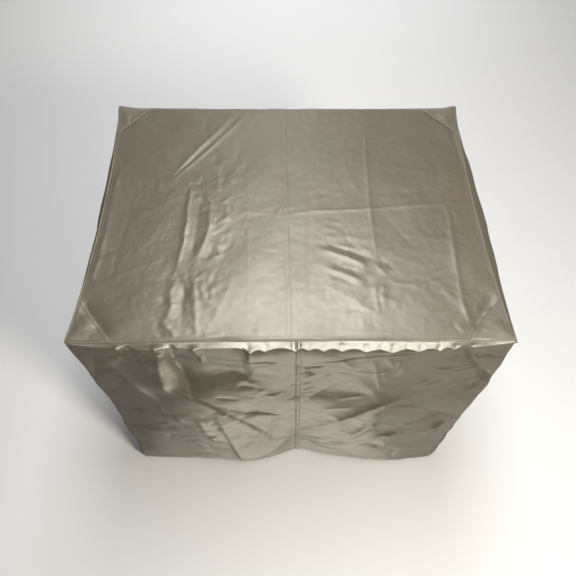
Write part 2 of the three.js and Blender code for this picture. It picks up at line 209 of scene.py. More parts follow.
@dataclass(frozen=True)
class Corner:
    """An upright edge of the skirt, whose rounding grows between two distances below the top edge."""

    walls: tuple[Wall, Wall]
    x: int
    y: int
    round: float
    start: float
    end: float


@dataclass(frozen=True)
class Zone:
    """A patch of cloth that is more crumpled than the rest."""

    a: float
    b: float
    half_a: float
    half_b: float
    strength: float


@dataclass(frozen=True)
class Crumple:
    """How uneven a sheet is all over: its share outside the zones, and the heights of three wave fields."""

    outside: float
    broad: float
    crumple: float
    crinkle: float


# How far the middle of each top edge is drawn in, and how much of that is lost further down the wall.
BOW = {Wall.FRONT: 3.0, Wall.RIGHT: 11.0, Wall.BACK: 3.0, Wall.LEFT: 13.0}
BOW_LOST = 0.6
BOW_LOST_BY = 300.0

# Corners of the top that stand up: sign of X, sign of Y and height.
EARS = ((-1, -1, 3.0), (1, -1, 3.0), (1, 1, 5.0), (-1, 1, 5.0))
EAR_REACH = 24.0

# The edge holds the cloth, so folds reach their full depth only this far from it.
WALL_HOLD = 30.0
TOP_HOLD = 20.0
FINE_WALL_HOLD = 12.0
FINE_TOP_HOLD = (2.0, 12.0)

# Rounding of a fold's crest, and the share of its length over which each end runs out.
CREST = 0.22
TAPER = 0.3

# How far round a corner the shape of the next wall is felt.
CORNER_REACH = 40.0

# Edges of a sheet that turn by more than this are sharp, in degrees.
RIM_ANGLE = 62.0

FRONT_SHELF = Shelf(
    (
        (-365, 5), (-288, 10), (-226, 12), (-163, 13), (-100, 13), (-84, 16), (-70, 27), (-44, 22),
        (7, 21), (27, 22), (53, 24), (83, 24), (123, 25), (167, 26), (213, 23), (245, 22), (270, 22),
        (300, 16), (332, 10), (365, 5),
    )
)
SWAGS = {
    Wall.FRONT: Swag(14, 11, 88, FRONT_SHELF, swell=0.5),
    Wall.RIGHT: Swag(22, -30, 76),
    Wall.BACK: Swag(12, 40, 80),
    Wall.LEFT: Swag(12, 20, 70),
}
CORNERS = (
    Corner((Wall.FRONT, Wall.RIGHT), 1, -1, 26, 220, 620),
    Corner((Wall.RIGHT, Wall.BACK), 1, 1, 36, 0, 220),
    Corner((Wall.BACK, Wall.LEFT), -1, 1, 36, 0, 220),
    Corner((Wall.LEFT, Wall.FRONT), -1, -1, 8, 0, 300),
)
BELLIES = (
    Belly(Wall.FRONT, -176, 340, 100, 190, 6, 19),
    Belly(Wall.FRONT, -128, 128, 74, 42, -8, -9),
    Belly(Wall.FRONT, -366, 380, 56, 190, 5, -13),
    Belly(Wall.FRONT, -118, 650, 88, 220, 0, 13),
    Belly(Wall.FRONT, 28, 660, 48, 260, 0, -17),
    Belly(Wall.FRONT, 245, 650, 110, 250, 0, 16),
    Belly(Wall.FRONT, 150, 330, 110, 120, -20, 8),
    Belly(Wall.FRONT, 318, 250, 30, 120, 0, -7),
    Belly(Wall.RIGHT, -232, 620, 58, 170, 0, 24),
    Belly(Wall.RIGHT, -262, 150, 56, 150, 0, 10),
    Belly(Wall.RIGHT, -268, 400, 50, 180, 0, 7),
    Belly(Wall.RIGHT, -60, 660, 190, 300, 0, 18),
    Belly(Wall.RIGHT, 150, 360, 90, 180, 10, -9),
    Belly(Wall.RIGHT, 240, 600, 70, 240, 0, 8),
    Belly(Wall.BACK, -190, 640, 100, 260, 0, 15),
    Belly(Wall.BACK, -14, 650, 55, 250, 0, -18),
    Belly(Wall.BACK, 170, 640, 95, 240, 0, 14),
    Belly(Wall.BACK, 120, 260, 100, 130, 15, -8),
    Belly(Wall.BACK, -240, 280, 90, 150, -10, 9),
    Belly(Wall.LEFT, -272, 470, 58, 230, 0, 9),
    Belly(Wall.LEFT, -180, 600, 60, 200, 0, 8),
    Belly(Wall.LEFT, -40, 420, 110, 200, 12, -10),
    Belly(Wall.LEFT, 150, 640, 110, 280, 0, 16),
)

# Main folds. The solids have nearly all of them too, broader and less exactly placed. Points lie along and
# down a wall, and along X and Y on the top.
WALL_FOLDS = {
    Wall.FRONT: (
        Fold(((-262, 140), (-217, 188), (-163, 243), (-139, 278), (-99, 358), (-27, 522)), 22, 4.2, 0.27),
        Fold(((-136, 254), (-91, 317), (-4, 341)), 8, -2.5),
        Fold(((-217, -4), (-228, 107), (-237, 210)), 26, 12, 0.45),
        Fold(((-208, 4), (-202, 100), (-188, 220)), 8, -12, 3.2),
        Fold(((-150, 262), (-131, 463), (-109, 680)), 8, 8, 3),
        Fold(((-195, 290), (-183, 404), (-140, 504)), 16, 4),
        Fold(((10, 468), (70, 390), (130, 324), (182, 261), (250, 236)), 11, 5, 1.6),
        Fold(((110, 520), (166, 397), (188, 303), (197, 255)), 10, 4),
        Fold(((123, 532), (153, 463), (185, 369), (190, 320)), 9, 4),
        Fold(((242, 219), (265, 271), (307, 355), (336, 390)), 10, -5),
        Fold(((40, 561), (135, 515), (211, 456), (280, 420)), 12, 4),
        Fold(((340, 380), (324, 411), (306, 470)), 9, 5),
        Fold(((285, 17), (321, 64), (345, 125), (372, 185)), 12, -8),
        Fold(((-334, 40), (-303, 113), (-272, 234)), 13, 4),
    ),
    Wall.RIGHT: (
        Fold(((-270, 120), (-60, 420)), 20, -8),
        Fold(((-40, 470), (180, 240)), 20, 7),
        Fold(((230, 90), (120, 330)), 18, -7),
    ),
    Wall.BACK: (
        Fold(((-320, 110), (-90, 400)), 20, -8),
        Fold(((60, 480), (300, 200)), 20, 7),
        Fold(((-130, 380), (-110, 645)), 18, -6),
    ),
    Wall.LEFT: (
        Fold(((250, 100), (40, 400)), 20, -8),
        Fold(((-230, 160), (-60, 470)), 20, -7),
        Fold(((40, 520), (190, 330)), 18, 6),
    ),
}
TOP_FOLDS = (
    Fold(((-250, 46), (-183, 158), (-140, 213), (-90, 284)), 10, 0.7),
    Fold(((-193, 98), (-192, 38), (-192, -25), (-193, -76), (-201, -139), (-175, -166)), 4.6, 0.8, 0.8),
    Fold(((-170, 40), (-172, -60), (-178, -138)), 9, -0.9),
    Fold(((-151, 38), (-149, -40), (-153, -76), (-170, -135)), 7, 1.0, 1.4),
    Fold(((-196, -150), (-207, -194), (-201, -219), (-216, -266)), 7, 1.2),
    Fold(((-184, -155), (-184, -210), (-180, -275)), 8, -0.8),
    Fold(((-171, -145), (-164, -197), (-156, -280)), 6, 1.1),
    Fold(((-40, -24), (45, -8), (152, -3), (345, 17)), 9, 0.3),
    Fold(((163, 260), (156, 80), (153, -1), (155, -111), (147, -160), (149, -260)), 9, 0.3),
    Fold(((286, 70), (302, -9), (296, -115), (292, -210), (300, -275)), 8, 0.6),
    Fold(((40, -76), (104, -102), (156, -126)), 10, -0.8),
    Fold(((44, -92), (102, -116), (150, -144)), 8, 1.4),
    Fold(((46, -132), (100, -156), (142, -177)), 8, 1.0),
    Fold(((50, -167), (107, -206), (156, -245)), 8, 0.8),
    Fold(((50, 143), (340, 212)), 14, -0.6),
    Fold(((-337, 120), (-339, -39), (-340, -128), (-344, -174)), 8, 1.0),
    Fold(((-361, -199), (-292, -281)), 10, -3.2),
    Fold(((356, -190), (290, -272)), 10, -2.4),
    Fold(((-360, 207), (-276, 280)), 10, -1.2),
    Fold(((360, 207), (284, 273)), 10, -0.6),
)

# Small pleats across the front shelf: place along the edge, place at the lower end, its depth, and the rise.
SHELF_PLEATS = (
    (-70, -74, 48, -1.4), (-44, -40, 34, -1.0), (27, 27, 36, -1.2), (53, 54, 34, -1.4), (83, 82, 36, -1.2),
    (123, 124, 38, -1.4), (148, 147, 30, -0.9), (167, 169, 44, -1.6), (190, 191, 32, -0.9),
    (213, 214, 40, -1.4), (243, 242, 34, -1.0), (270, 272, 36, -1.2), (296, 301, 30, -1.0),
)

# Fine folds, which only this scene has.
FINE_WALL_FOLDS = {
    Wall.FRONT: (
        Fold(((-136, 254), (-91, 317), (-4, 341)), 3, -1.6),
        Fold(
            ((-266, 129), (-214, 185), (-160, 240), (-136, 275), (-96, 355), (-59, 425), (-18, 528)),
            3.2,
            -2.2,
        ),
        Fold(((-215, 22), (-177, 42), (-147, 48), (-88, 65), (-44, 62), (7, 72)), 3, -2.2),
        Fold(((18, 70), (81, 60), (140, 40), (207, 28), (250, 22)), 3, -2.0),
        Fold(((-148, 270), (-131, 463), (-109, 610)), 3, -2.0),
        Fold(((-215, 18), (-221, 70), (-231, 150)), 3, -1.6),
        Fold(((-204, 30), (-203, 118), (-184, 184)), 3, -1.8),
        Fold(((-339, 50), (-321, 97), (-300, 139), (-273, 216), (-252, 268)), 3.4, 2.2),
        Fold(((-262, 30), (-250, 70), (-243, 112)), 7, 3),
        Fold(((-151, 29), (-155, 89)), 4, 3),
        Fold(((-288, 2), (-284, 24)), 4, 3),
        Fold(((-268, 2), (-266, 28)), 4, -3),
        Fold(((-226, 2), (-222, 24)), 4, 3),
        Fold(((-163, 2), (-152, 50)), 4, 4),
        Fold(((-200, 0), (-192, 30)), 5, -3),
        *(Fold(((top, -12), (low, down)), 3, rise) for top, low, down, rise in SHELF_PLEATS),
        Fold(((-29, 357), (-40, 439), (-64, 530)), 7, -4),
        Fold(((-96, 470), (-60, 430)), 5, 2),
        Fold(((60, 400), (130, 324), (182, 261), (245, 240)), 3, 2.2),
        Fold(((130, 496), (166, 397), (188, 303), (197, 255)), 3, 2.4),
        Fold(((140, 484), (153, 463), (185, 369), (190, 330)), 3, 2.2),
        Fold(((190, 278), (237, 282), (275, 305)), 3, 1.6),
        Fold(((238, 208), (265, 271), (307, 355), (336, 390)), 3.2, 3.8),
        Fold(((338, 380), (324, 411), (311, 484)), 3.2, 3.0),
        Fold(((283, 8), (317, 78), (346, 130)), 3.6, -3.8),
        Fold(((293, 8), (322, 74), (350, 122)), 3.6, 4.0),
        Fold(((345, 106), (303, 118), (250, 103)), 3.4, 2.6),
        Fold(((340, 112), (346, 160), (338, 214)), 4, -3.4),
        Fold(((242, 206), (256, 148)), 3.6, 2.2),
        Fold(((140, 48), (158, 135), (178, 216)), 4, 2.2),
        Fold(((162, 46), (186, 104)), 3.6, 2.0),
        Fold(((21, 113), (46, 87)), 4, 2.5),
        Fold(((22, 149), (47, 120)), 4, 2.5),
        Fold(((20, 186), (44, 165)), 4, 2),
        Fold(((22, 214), (52, 196)), 4, 1.6),
        Fold(((18, 128), (40, 106)), 3, -2),
        Fold(((256, 110), (322, 97)), 4, 1.8),
        Fold(((244, 190), (298, 160)), 5, 2),
        Fold(((292, 223), (318, 176)), 5, 1.6),
        Fold(((170, 100), (176, 168)), 7, 2.4),
        Fold(((206, 96), (200, 150)), 6, 2.2),
        Fold(((188, 60), (192, 110)), 5, 1.8),
        Fold(((-316, 120), (-292, 190), (-256, 262)), 4, 1.8),
        Fold(((-240, 300), (-222, 352)), 6, 2.5),
        Fold(((-206, 330), (-190, 372)), 6, -2.5),
        Fold(((-260, 380), (-214, 430)), 7, 2.2),
        Fold(((-176, 420), (-168, 470)), 6, 2.4),
        Fold(((-230, 480), (-190, 540)), 7, 2),
        Fold(((-240, 596), (-150, 612)), 5, 2),
        Fold(((60, 560), (150, 585)), 6, 2),
        Fold(((190, 560), (250, 500)), 7, 2.4),
        Fold(((90, 250), (150, 226)), 6, 1.8),
        Fold(((60, 300), (130, 280)), 5, 1.5),
        Fold(((-120, 120), (-76, 150)), 7, -2.2),
        Fold(((-104, 178), (-66, 190)), 7, -2.4),
        Fold(((-150, 214), (-96, 236)), 6, -2),
    ),
}
FINE_TOP_FOLDS = (
    Fold(((-246, 58), (-183, 163), (-147, 215), (-106, 290)), 2.2, 1.2),
    Fold(((-246, 56), (-174, 158), (-138, 210), (-92, 284)), 3.6, -1.3),
    Fold(((-246, 54), (-166, 153), (-130, 205), (-78, 280)), 2.8, 1.5),
    Fold(((-255, 80), (-252, 38)), 2.2, 0.62),
    Fold(((-298, 88), (-292, 22), (-306, 2)), 3, 0.37),
    Fold(
        ((-193, 88), (-192, 38), (-192, -25), (-193, -76), (-198, -105), (-201, -139), (-183, -156)),
        2.4,
        0.56,
    ),
    Fold(((-196, 60), (-188, 30), (-196, 0), (-189, -30), (-197, -60), (-194, -96)), 3, 0.5),
    Fold(((-151, 18), (-153, -20), (-148, -44), (-156, -78), (-171, -117)), 3, 0.56),
    Fold(((-138, 54), (-79, 136)), 4, 0.56),
    Fold(((-139, -40), (-113, -17)), 4, 0.56),
    Fold(((-131, -66), (-103, -55)), 4, 0.5),
    Fold(((-131, 154), (-140, 90), (-136, 22)), 5, 0.62),
    Fold(((-126, 100), (-96, 118)), 4, 0.56),
    Fold(((-122, 70), (-98, 84)), 4, 0.5),
    Fold(((-128, 20), (-104, 32)), 3.5, 0.5),
    Fold(((-142, -92), (-108, -84)), 4, 0.5),
    Fold(((-150, -120), (-120, -108)), 4, 0.56),
    Fold(((-158, -169), (-144, -207)), 4, 0.81),
    Fold(((-186, -170), (-180, -204)), 4, -0.74),
    Fold(((-178, -158), (-160, -166)), 3.5, 0.74),
    Fold(((-214, -249), (-185, -278)), 3, 1.12),
    Fold(((-222, -262), (-205, -279)), 3, -0.62),
    Fold(((-150, -276), (-107, -268)), 4, 0.62),
    Fold(((-280, -167), (-210, -164), (-87, -166)), 1.8, -0.28),
    Fold(((-141, -2), (-81, -8), (-10, -18)), 2, 0.31),
    Fold(((-82, 131), (-71, -279)), 2.2, 0.22),
    Fold(((43, 39), (33, -97), (32, -209), (23, -263)), 4, -0.31),
    Fold(((34, 60), (24, -97), (22, -209)), 3, 0.22),
    Fold(((-295, 63), (-310, -111), (-315, -212)), 4, -0.37),
    Fold(((-40, -24), (45, -8), (152, -3), (345, 17)), 2.2, 0.55),
    Fold(((163, 274), (156, 80), (153, -1), (155, -65), (155, -111), (145, -142), (153, -165)), 2.2, 0.5),
    Fold(((153, -165), (145, -191), (149, -240)), 3, 0.62),
    Fold(((163, -168), (158, -200), (160, -236)), 3, 0.5),
    Fold(((290, 43), (302, -9), (296, -115), (294, -172), (292, -210), (299, -258)), 2.4, 0.43),
    Fold(((62, -84), (110, -103), (148, -124)), 4, -0.99),
    Fold(((56, -97), (102, -116), (139, -138)), 3, 0.74),
    Fold(((78, -60), (150, -84)), 4, 0.43),
    Fold(((58, -31), (104, -38)), 3, 0.37),
    Fold(((58, -48), (96, -56)), 3, 0.37),
    Fold(((60, -66), (110, -76)), 3, 0.37),
    Fold(((70, -128), (126, -154)), 4, -0.68),
    Fold(((59, -138), (100, -156), (131, -171)), 3, 0.56),
    Fold(((66, -152), (130, -184)), 3, -0.5),
    Fold(((150, -130), (172, -158)), 4, 0.93),
    Fold(((158, -120), (184, -142)), 4, -0.74),
    Fold(((165, -168), (216, -177), (236, -186)), 3, 0.5),
    Fold(((224, -165), (278, -139)), 3, 0.43),
    Fold(((164, -171), (234, -172), (359, -149)), 2, 0.25),
    Fold(((292, -198), (299, -258)), 3.5, 0.87),
    Fold(((274, -252), (288, -276)), 3, 0.74),
    Fold(((304, 132), (288, 43)), 5, -0.56),
    Fold(((341, 259), (341, 239), (323, 210)), 3.5, 1.18),
    Fold(((343, 254), (349, 154), (352, 100)), 4, -1.18),
    Fold(((330, 262), (322, 240), (328, 226)), 4, -0.87),
    Fold(((-335, 264), (-336, 231)), 3.5, -1.12),
    Fold(((-337, 78), (-338, 54)), 4, 0.62),
    Fold(((-340, -60), (-341, -104)), 4, 0.5),
    Fold(((-341, -112), (-346, -168)), 4, 0.87),
    Fold(((190, 110), (300, 92)), 7, 0.31),
    Fold(((104, 150), (128, 60), (140, 30)), 8, 0.31),
    Fold(((200, 34), (290, 46)), 6, -0.31),
    Fold(((-270, 180), (-210, 232)), 9, 0.37),
    Fold(((-300, 150), (-190, 172)), 8, 0.31),
    Fold(((-250, -20), (-230, -120)), 10, 0.25),
    Fold(((-240, 20), (-214, 50)), 6, 0.31),
)
TOP_ZONES = (
    Zone(-150, 20, 46, 130, 1.0),
    Zone(-178, -200, 42, 70, 1.1),
    Zone(110, -150, 64, 90, 0.8),
    Zone(330, 210, 40, 70, 0.9),
    Zone(-336, 0, 22, 190, 0.5),
    Zone(300, -210, 60, 60, 0.5),
)
WALL_ZONES = {
    Wall.FRONT: (
        Zone(-190, 400, 90, 120, 1.1),
        Zone(60, 160, 60, 110, 0.6),
        Zone(-80, 180, 60, 90, 0.7),
        Zone(200, 380, 110, 110, 0.7),
        Zone(320, 100, 50, 80, 0.9),
        Zone(-240, 30, 90, 40, 1.0),
    ),
    Wall.RIGHT: (Zone(-120, 300, 200, 200, 0.9),),
    Wall.BACK: (Zone(0, 330, 300, 220, 0.9),),
    Wall.LEFT: (Zone(30, 320, 200, 200, 0.9),),
}
TOP_CRUMPLE = Crumple(outside=0.05, broad=0.35, crumple=0.22, crinkle=0.1)
WALL_CRUMPLE = Crumple(outside=0.03, broad=0.8, crumple=0.34, crinkle=0.08)


def smooth(low: float, high: float, value: Array) -> Array:
    """Ease from 0 at low to 1 at high."""
    t = np.clip((np.asarray(value, dtype=float) - low) / (high - low), 0, 1)
    return t * t * (3 - 2 * t)


def fold_share(u: Array, v: Array, fold: Fold) -> Array:
    """How much of a fold each point feels, most on its line.

    Args:
        u: First coordinate of the points.
        v: Second coordinate of the points.
        fold: The fold.

    Returns:
        Shares from 0 to 1, which fade towards both ends of the line.
    """
    nearest = np.full(u.shape, np.inf)
    travelled = np.zeros(u.shape)
    flank = np.zeros(u.shape)
    total = 0.0
    for (a0, b0), (a1, b1) in zip(fold.line, fold.line[1:]):
        length = math.hypot(a1 - a0, b1 - b0)
        ahead = ((u - a0) * (a1 - a0) + (v - b0) * (b1 - b0)) / length
        aside = ((u - a0) * (b1 - b0) - (v - b0) * (a1 - a0)) / length
        held = np.clip(ahead, 0, length)
        distance = np.hypot(ahead - held, aside)
        closer = distance < nearest
        nearest = np.where(closer, distance, nearest)
        travelled = np.where(closer, total + held, travelled)
        flank = np.where(closer, aside, flank)
        total += length
    fade = total * TAPER
    ends = smooth(0, fade, travelled) * smooth(0, fade, total - travelled)
    half = np.where(flank > 0, fold.half * fold.flank, fold.half)
    return ends * np.exp(CREST - np.hypot(nearest / half, CREST))


class WaveField:
    """A smooth random field made of plane waves, the same on each run."""

    MEAN_SIZE = 0.8

    def __init__(self, seed: int, shortest: float, longest: float, count: int = 14) -> None:
        """Draw the waves.

        Args:
            seed: Seed of the draw.
            shortest: Shortest wavelength.
            longest: Longest wavelength.
            count: Number of waves.
        """
        rng = np.random.default_rng(seed)
        lengths = np.exp(rng.uniform(math.log(shortest), math.log(longest), count))
        turns = rng.uniform(0, math.pi, count)
        self.k = 2 * math.pi / lengths
        self.kx = self.k * np.cos(turns)
        self.ky = self.k * np.sin(turns)
        self.phase = rng.uniform(0, 2 * math.pi, count)
        self.weight = lengths / math.sqrt(float((lengths**2).sum()) / 2)

    def at(self, u: Array, v: Array) -> Array:
        """The field at some points, about -2 to 2.

        Args:
            u: First coordinate of the points.
            v: Second coordinate of the points.

        Returns:
            Its values.
        """
        total = np.zeros(np.shape(u))
        for kx, ky, phase, weight in zip(self.kx, self.ky, self.phase, self.weight):
            total += weight * np.cos(kx * u + ky * v + phase)
        return total

    def creased(self, u: Array, v: Array) -> Array:
        """The field with a sharp ridge wherever it changes sign, mean about 0."""
        return self.MEAN_SIZE - np.abs(self.at(u, v))


@dataclass(frozen=True)
class Scatter:
    """Small creases strewn over a sheet: how many, and ranges of their lengths, half widths and heights.

    Each is bent a little in its middle, by an angle in radians, and one flank is wider than the other.
    """

    seed: int
    count: int
    length: tuple[float, float]
    half: tuple[float, float]
    rise: tuple[float, float]
    bend: float = 0.35
    flank: tuple[float, float] = (0.5, 2.0)

    def folds(self, low: tuple[float, float], high: tuple[float, float]) -> tuple[Fold, ...]:
        """Draw the creases.

        Args:
            low: Smallest values of the two coordinates.
            high: Largest values of them.

        Returns:
            The creases, the same on each run.
        """
        rng = np.random.default_rng(self.seed)
        found = []
        for _ in range(self.count):
            a, b = rng.uniform(low, high)
            turn = rng.uniform(0, math.pi)
            bend = turn + rng.uniform(-self.bend, self.bend)
            reach = rng.uniform(*self.length) / 2
            ends = (
                (a - reach * math.cos(turn), b - reach * math.sin(turn)),
                (a, b),
                (a + reach * math.cos(bend), b + reach * math.sin(bend)),
            )
            rise = rng.uniform(*self.rise) * rng.choice((-1.0, 1.0))
            found.append(Fold(ends, rng.uniform(*self.half), rise, rng.uniform(*self.flank)))
        return tuple(found)


class ClothShape:
    """The folded shape of the cover, as functions of where a point lies on the cloth."""

    TOP_MARGIN = 15.0
    WALL_MARGIN = 10.0
    WALL_CALM = 60.0
    HEM_CALM = 20.0
    ZONE_DENSITY = 0.0045
    ZONE_MOST = 30
    ZONE_LENGTH = (14, 56)
    WALL_SHIFT = 1000.0

    def __init__(self, size: CoverSize) -> None:
        """Set the random fields up.

        Args:
            size: The driving sizes.
        """
        self.size = size
        self.broad = WaveField(seed=11, shortest=90, longest=220)
        self.crumple = WaveField(seed=23, shortest=26, longest=70)
        self.crinkle = WaveField(seed=37, shortest=10, longest=26)
        half_x = size.width / 2 - self.TOP_MARGIN
        half_y = size.depth / 2 - self.TOP_MARGIN
        faint = Scatter(seed=5, count=90, length=(40, 170), half=(2.5, 9), rise=(0.1, 0.35))
        self.top_scatter = faint.folds((-half_x, -half_y), (half_x, half_y))
        self.top_scatter += self.in_zones(TOP_ZONES, 200, half=(2.0, 4.5), rise=(0.2, 0.7))
        self.wall_scatter = {}
        for k, wall in enumerate(Wall):
            span = size.half(wall) - self.WALL_MARGIN
            low, high = (-span, self.WALL_CALM), (span, size.drop - self.HEM_CALM)
            large = Scatter(seed=70 + k, count=26, length=(120, 320), half=(12, 26), rise=(1.3, 3.0))
            small = Scatter(seed=90 + k, count=30, length=(50, 150), half=(6, 14), rise=(0.6, 1.6))
            strewn = self.in_zones(WALL_ZONES[wall], 300 + 20 * k, half=(3.0, 7.0), rise=(0.5, 1.5))
            self.wall_scatter[wall] = large.folds(low, high) + small.folds(low, high) + strewn

    def in_zones(
        self, zones: tuple[Zone, ...], seed: int, half: tuple[float, float], rise: tuple[float, float]
    ) -> tuple[Fold, ...]:
        """Short creases strewn over the crumpled zones.

        Args:
            zones: The zones.
            seed: Seed of the first zone's draw.
            half: Range of half widths.
            rise: Range of heights.

        Returns:
            The creases.
        """
        found: tuple[Fold, ...] = ()
        for k, zone in enumerate(zones):
            count = round(self.ZONE_DENSITY * zone.half_a * zone.half_b * zone.strength)
            draw = Scatter(seed + k, min(count, self.ZONE_MOST), self.ZONE_LENGTH, half, rise)
            low = (zone.a - zone.half_a, zone.b - zone.half_b)
            high = (zone.a + zone.half_a, zone.b + zone.half_b)
            found += draw.folds(low, high)
        return found

    def top_height(self, x: Array, y: Array, fine: bool) -> Array:
        """Height of the top's underside.

        Args:
            x: Where the points lie along X.
            y: Where the points lie along Y.
            fine: Whether the fine folds are there too.

        Returns:
            The heights.
        """
        size = self.size
        inside = np.minimum(size.width / 2 - np.abs(x), size.depth / 2 - np.abs(y))
        height = np.zeros(np.shape(x))
        for fold in TOP_FOLDS:
            height += fold.rise * fold_share(x, y, fold)
        height *= smooth(0, TOP_HOLD, inside)
        for ear_x, ear_y, rise in EARS:
            away = np.hypot(x - ear_x * size.width / 2, y - ear_y * size.depth / 2)
            height += rise * np.exp(-((away / EAR_REACH) ** 2))
        if fine:
            detail = np.zeros(np.shape(x))
            for fold in FINE_TOP_FOLDS:
                detail += fold.rise * fold_share(x, y, fold)
            for fold in self.top_scatter:
                detail += fold.rise * fold_share(x, y, fold)
            zone = TOP_CRUMPLE.outside + self.zone_share(x, y, TOP_ZONES)
            detail += TOP_CRUMPLE.broad * self.broad.at(x, y)
            detail += TOP_CRUMPLE.crumple * zone * self.crumple.creased(x, y)
            detail += TOP_CRUMPLE.crinkle * zone * self.crinkle.creased(x, y)
            height += detail * smooth(*FINE_TOP_HOLD, inside)
        return height

    @staticmethod
    def zone_share(a: Array, b: Array, zones: tuple[Zone, ...]) -> Array:
        """How crumpled the cloth is at some points.

        Args:
            a: First coordinate of the points.
            b: Second coordinate of the points.
            zones: The crumpled zones.

        Returns:
            Shares, 0 far from every zone.
        """
        share = np.zeros(np.shape(a))
        for zone in zones:
            distance = ((a - zone.a) / zone.half_a) ** 2 + ((b - zone.b) / zone.half_b) ** 2
            share += zone.strength * np.exp(-distance)
        return share

    def wall_out(self, wall: Wall, along: Array, down: Array, fine: bool) -> Array:
        """How far a wall stands out from its flat plane.

        Args:
            wall: Which wall.
            along: Where the points lie along the wall.
            down: How far below the top edge they are, along the cloth.
            fine: Whether the fine folds are there too.

        Returns:
            The distances, outwards.
        """
        half = self.size.half(wall)
        bow = -BOW[wall] * (1 - (along / half) ** 2)
        out = self.swag_out(wall, along, down, fine)
        for belly in BELLIES:
            if belly.wall is not wall:
                continue
            lean = math.radians(belly.lean)
            a = along - belly.along
            d = down - belly.down
            across = a * math.cos(lean) + d * math.sin(lean)
            below = d * math.cos(lean) - a * math.sin(lean)
            share = np.exp(-((across / belly.half_along) ** 2) - (below / belly.half_down) ** 2)
            out = out + belly.out * share * smooth(0, WALL_HOLD, down)
        for fold in WALL_FOLDS[wall]:
            out = out + fold.rise * fold_share(along, down, fold) * smooth(0, WALL_HOLD, down)
        if fine:
            out = out + self.wall_detail(wall, along, down)
        return out + bow * (1 - BOW_LOST * smooth(0, BOW_LOST_BY, down))

    def swag_out(self, wall: Wall, along: Array, down: Array, fine: bool) -> Array:
        """How far the slack under the top edge stands out.

        Args:
            wall: Which wall.
            along: Where the points lie along the wall.
            down: How far below the top edge they are, along the cloth.
            fine: Whether the shelf's scallops and step are there too.

        Returns:
            The distances, outwards.
        """
        swag = SWAGS[wall]
        shelf = swag.shelf
        spent = np.abs(along - swag.middle) / (self.size.half(wall) + swag.past)
        reach = np.maximum(swag.depth * np.clip(1 - spent, 0, 1), 1.0)
        slack = swag.out * (reach / swag.depth) ** swag.swell
        if shelf is None:
            share = down / reach
            lip = np.where(share < 1, np.sin(math.pi * np.clip(share, 0, 1) ** swag.lip), 0)
            return slack * lip + swag.hang * slack * np.sin(math.pi * np.clip(share / 2, 0, 1))
        width = shelf.width(along, shelf.hill if fine else shelf.hill / 2)
        even = shelf.width(along, 0)
        settled = width + (even - width) * (1 - np.exp(-np.maximum(down - width, 0) / shelf.settle))
        out = shelf.slope * settled * np.minimum(down / width, 1)
        spent = np.clip((down - width) / np.maximum(reach - width, shelf.shortest_fall), 0, 1)
        past = np.maximum(down - reach, 0)
        out = out * (1 - shelf.spent * spent) * np.exp(-past / shelf.fade)
        if fine:
            step = shelf.step * smooth(0, shelf.step_ease, past) * np.exp(-past / shelf.step_fade)
            out = out - step * slack / swag.out
        return out

    def wall_detail(self, wall: Wall, along: Array, down: Array) -> Array:
        """Fine folds and crumples of a wall, none at its top edge.

        Args:
            wall: Which wall.
            along: Where the points lie along the wall.
            down: How far below the top edge they are, along the cloth.

        Returns:
            Heights, outwards.
        """
        shift = self.WALL_SHIFT * list(Wall).index(wall)
        detail = np.zeros(np.shape(along))
        for fold in FINE_WALL_FOLDS.get(wall, ()):
            detail += fold.rise * fold_share(along, down, fold)
        for fold in self.wall_scatter[wall]:
            detail += fold.rise * fold_share(along, down, fold)
        zone = WALL_CRUMPLE.outside + self.zone_share(along, down, WALL_ZONES[wall])
        detail += WALL_CRUMPLE.broad * self.broad.at(along + shift, down)
        detail += WALL_CRUMPLE.crumple * zone * self.crumple.at(along + shift, down)
        detail += WALL_CRUMPLE.crinkle * zone * self.crinkle.at(along + shift, down)
        return detail * smooth(0, FINE_WALL_HOLD, down)

    def wall_plan(self, wall: Wall, along: Array, down: Array, fine: bool) -> tuple[Array, Array]:
        """Where points of the skirt's outer face lie in plan.

        Args:
            wall: Which wall.
            along: Where the points lie along the wall.
            down: How far below the top edge they are, along the cloth.
            fine: Whether the fine folds are there too.

        Returns:
            X and Y of the points.
        """
        size = self.size
        own = 0 if wall.runs_along_x else 1
        out = self.wall_out(wall, along, down, fine)
        flat = (size.depth if wall.runs_along_x else size.width) / 2
        plan = [np.broadcast_to(along, out.shape)] * 2
        plan[1 - own] = wall.value[1 - own] * (flat + out)
        for corner in CORNERS:
            if wall not in corner.walls:
                continue
            sign = (corner.x, corner.y)
            end = sign[own] * size.half(wall)
            away = np.abs(end - along)
            other = corner.walls[0] if corner.walls[1] is wall else corner.walls[1]
            other_end = np.full(np.shape(down), sign[1 - own] * size.half(other))
            carried = self.wall_out(other, other_end, down, fine) * np.exp(-((away / CORNER_REACH) ** 2))
            plan[own] = plan[own] + other.value[own] * carried
            radius = corner.round * smooth(corner.start, corner.end, down)
            inside = away < radius
            t = 0.5 + away / (2 * np.maximum(radius, TINY))
            plan[own] = plan[own] - np.where(inside, sign[own] * (t * t * radius - away), 0)
            plan[1 - own] = plan[1 - own] - np.where(inside, sign[1 - own] * (1 - t) ** 2 * radius, 0)
        return plan[0], plan[1]


def spread(*stretches: tuple[float, float, float]) -> Array:
    """Spread marks along a length.

    Args:
        stretches: Rows of start, end and the widest step between marks.

    Returns:
        The marks, from the first start to the last end.
    """
    marks = [np.array([stretches[0][0]])]
    for start, end, step in stretches:
        count = max(1, math.ceil((end - start) / step - TINY))
        marks.append(np.linspace(start, end, count + 1)[1:])
    return np.concatenate(marks)


def wander(run: Array, pace: float, drift: float, turn: float) -> Array:
    """A wave between -1 and 1 whose pace changes along its run, so that it never looks regular."""
    return np.sin(run / pace + turn * np.sin(run / drift))


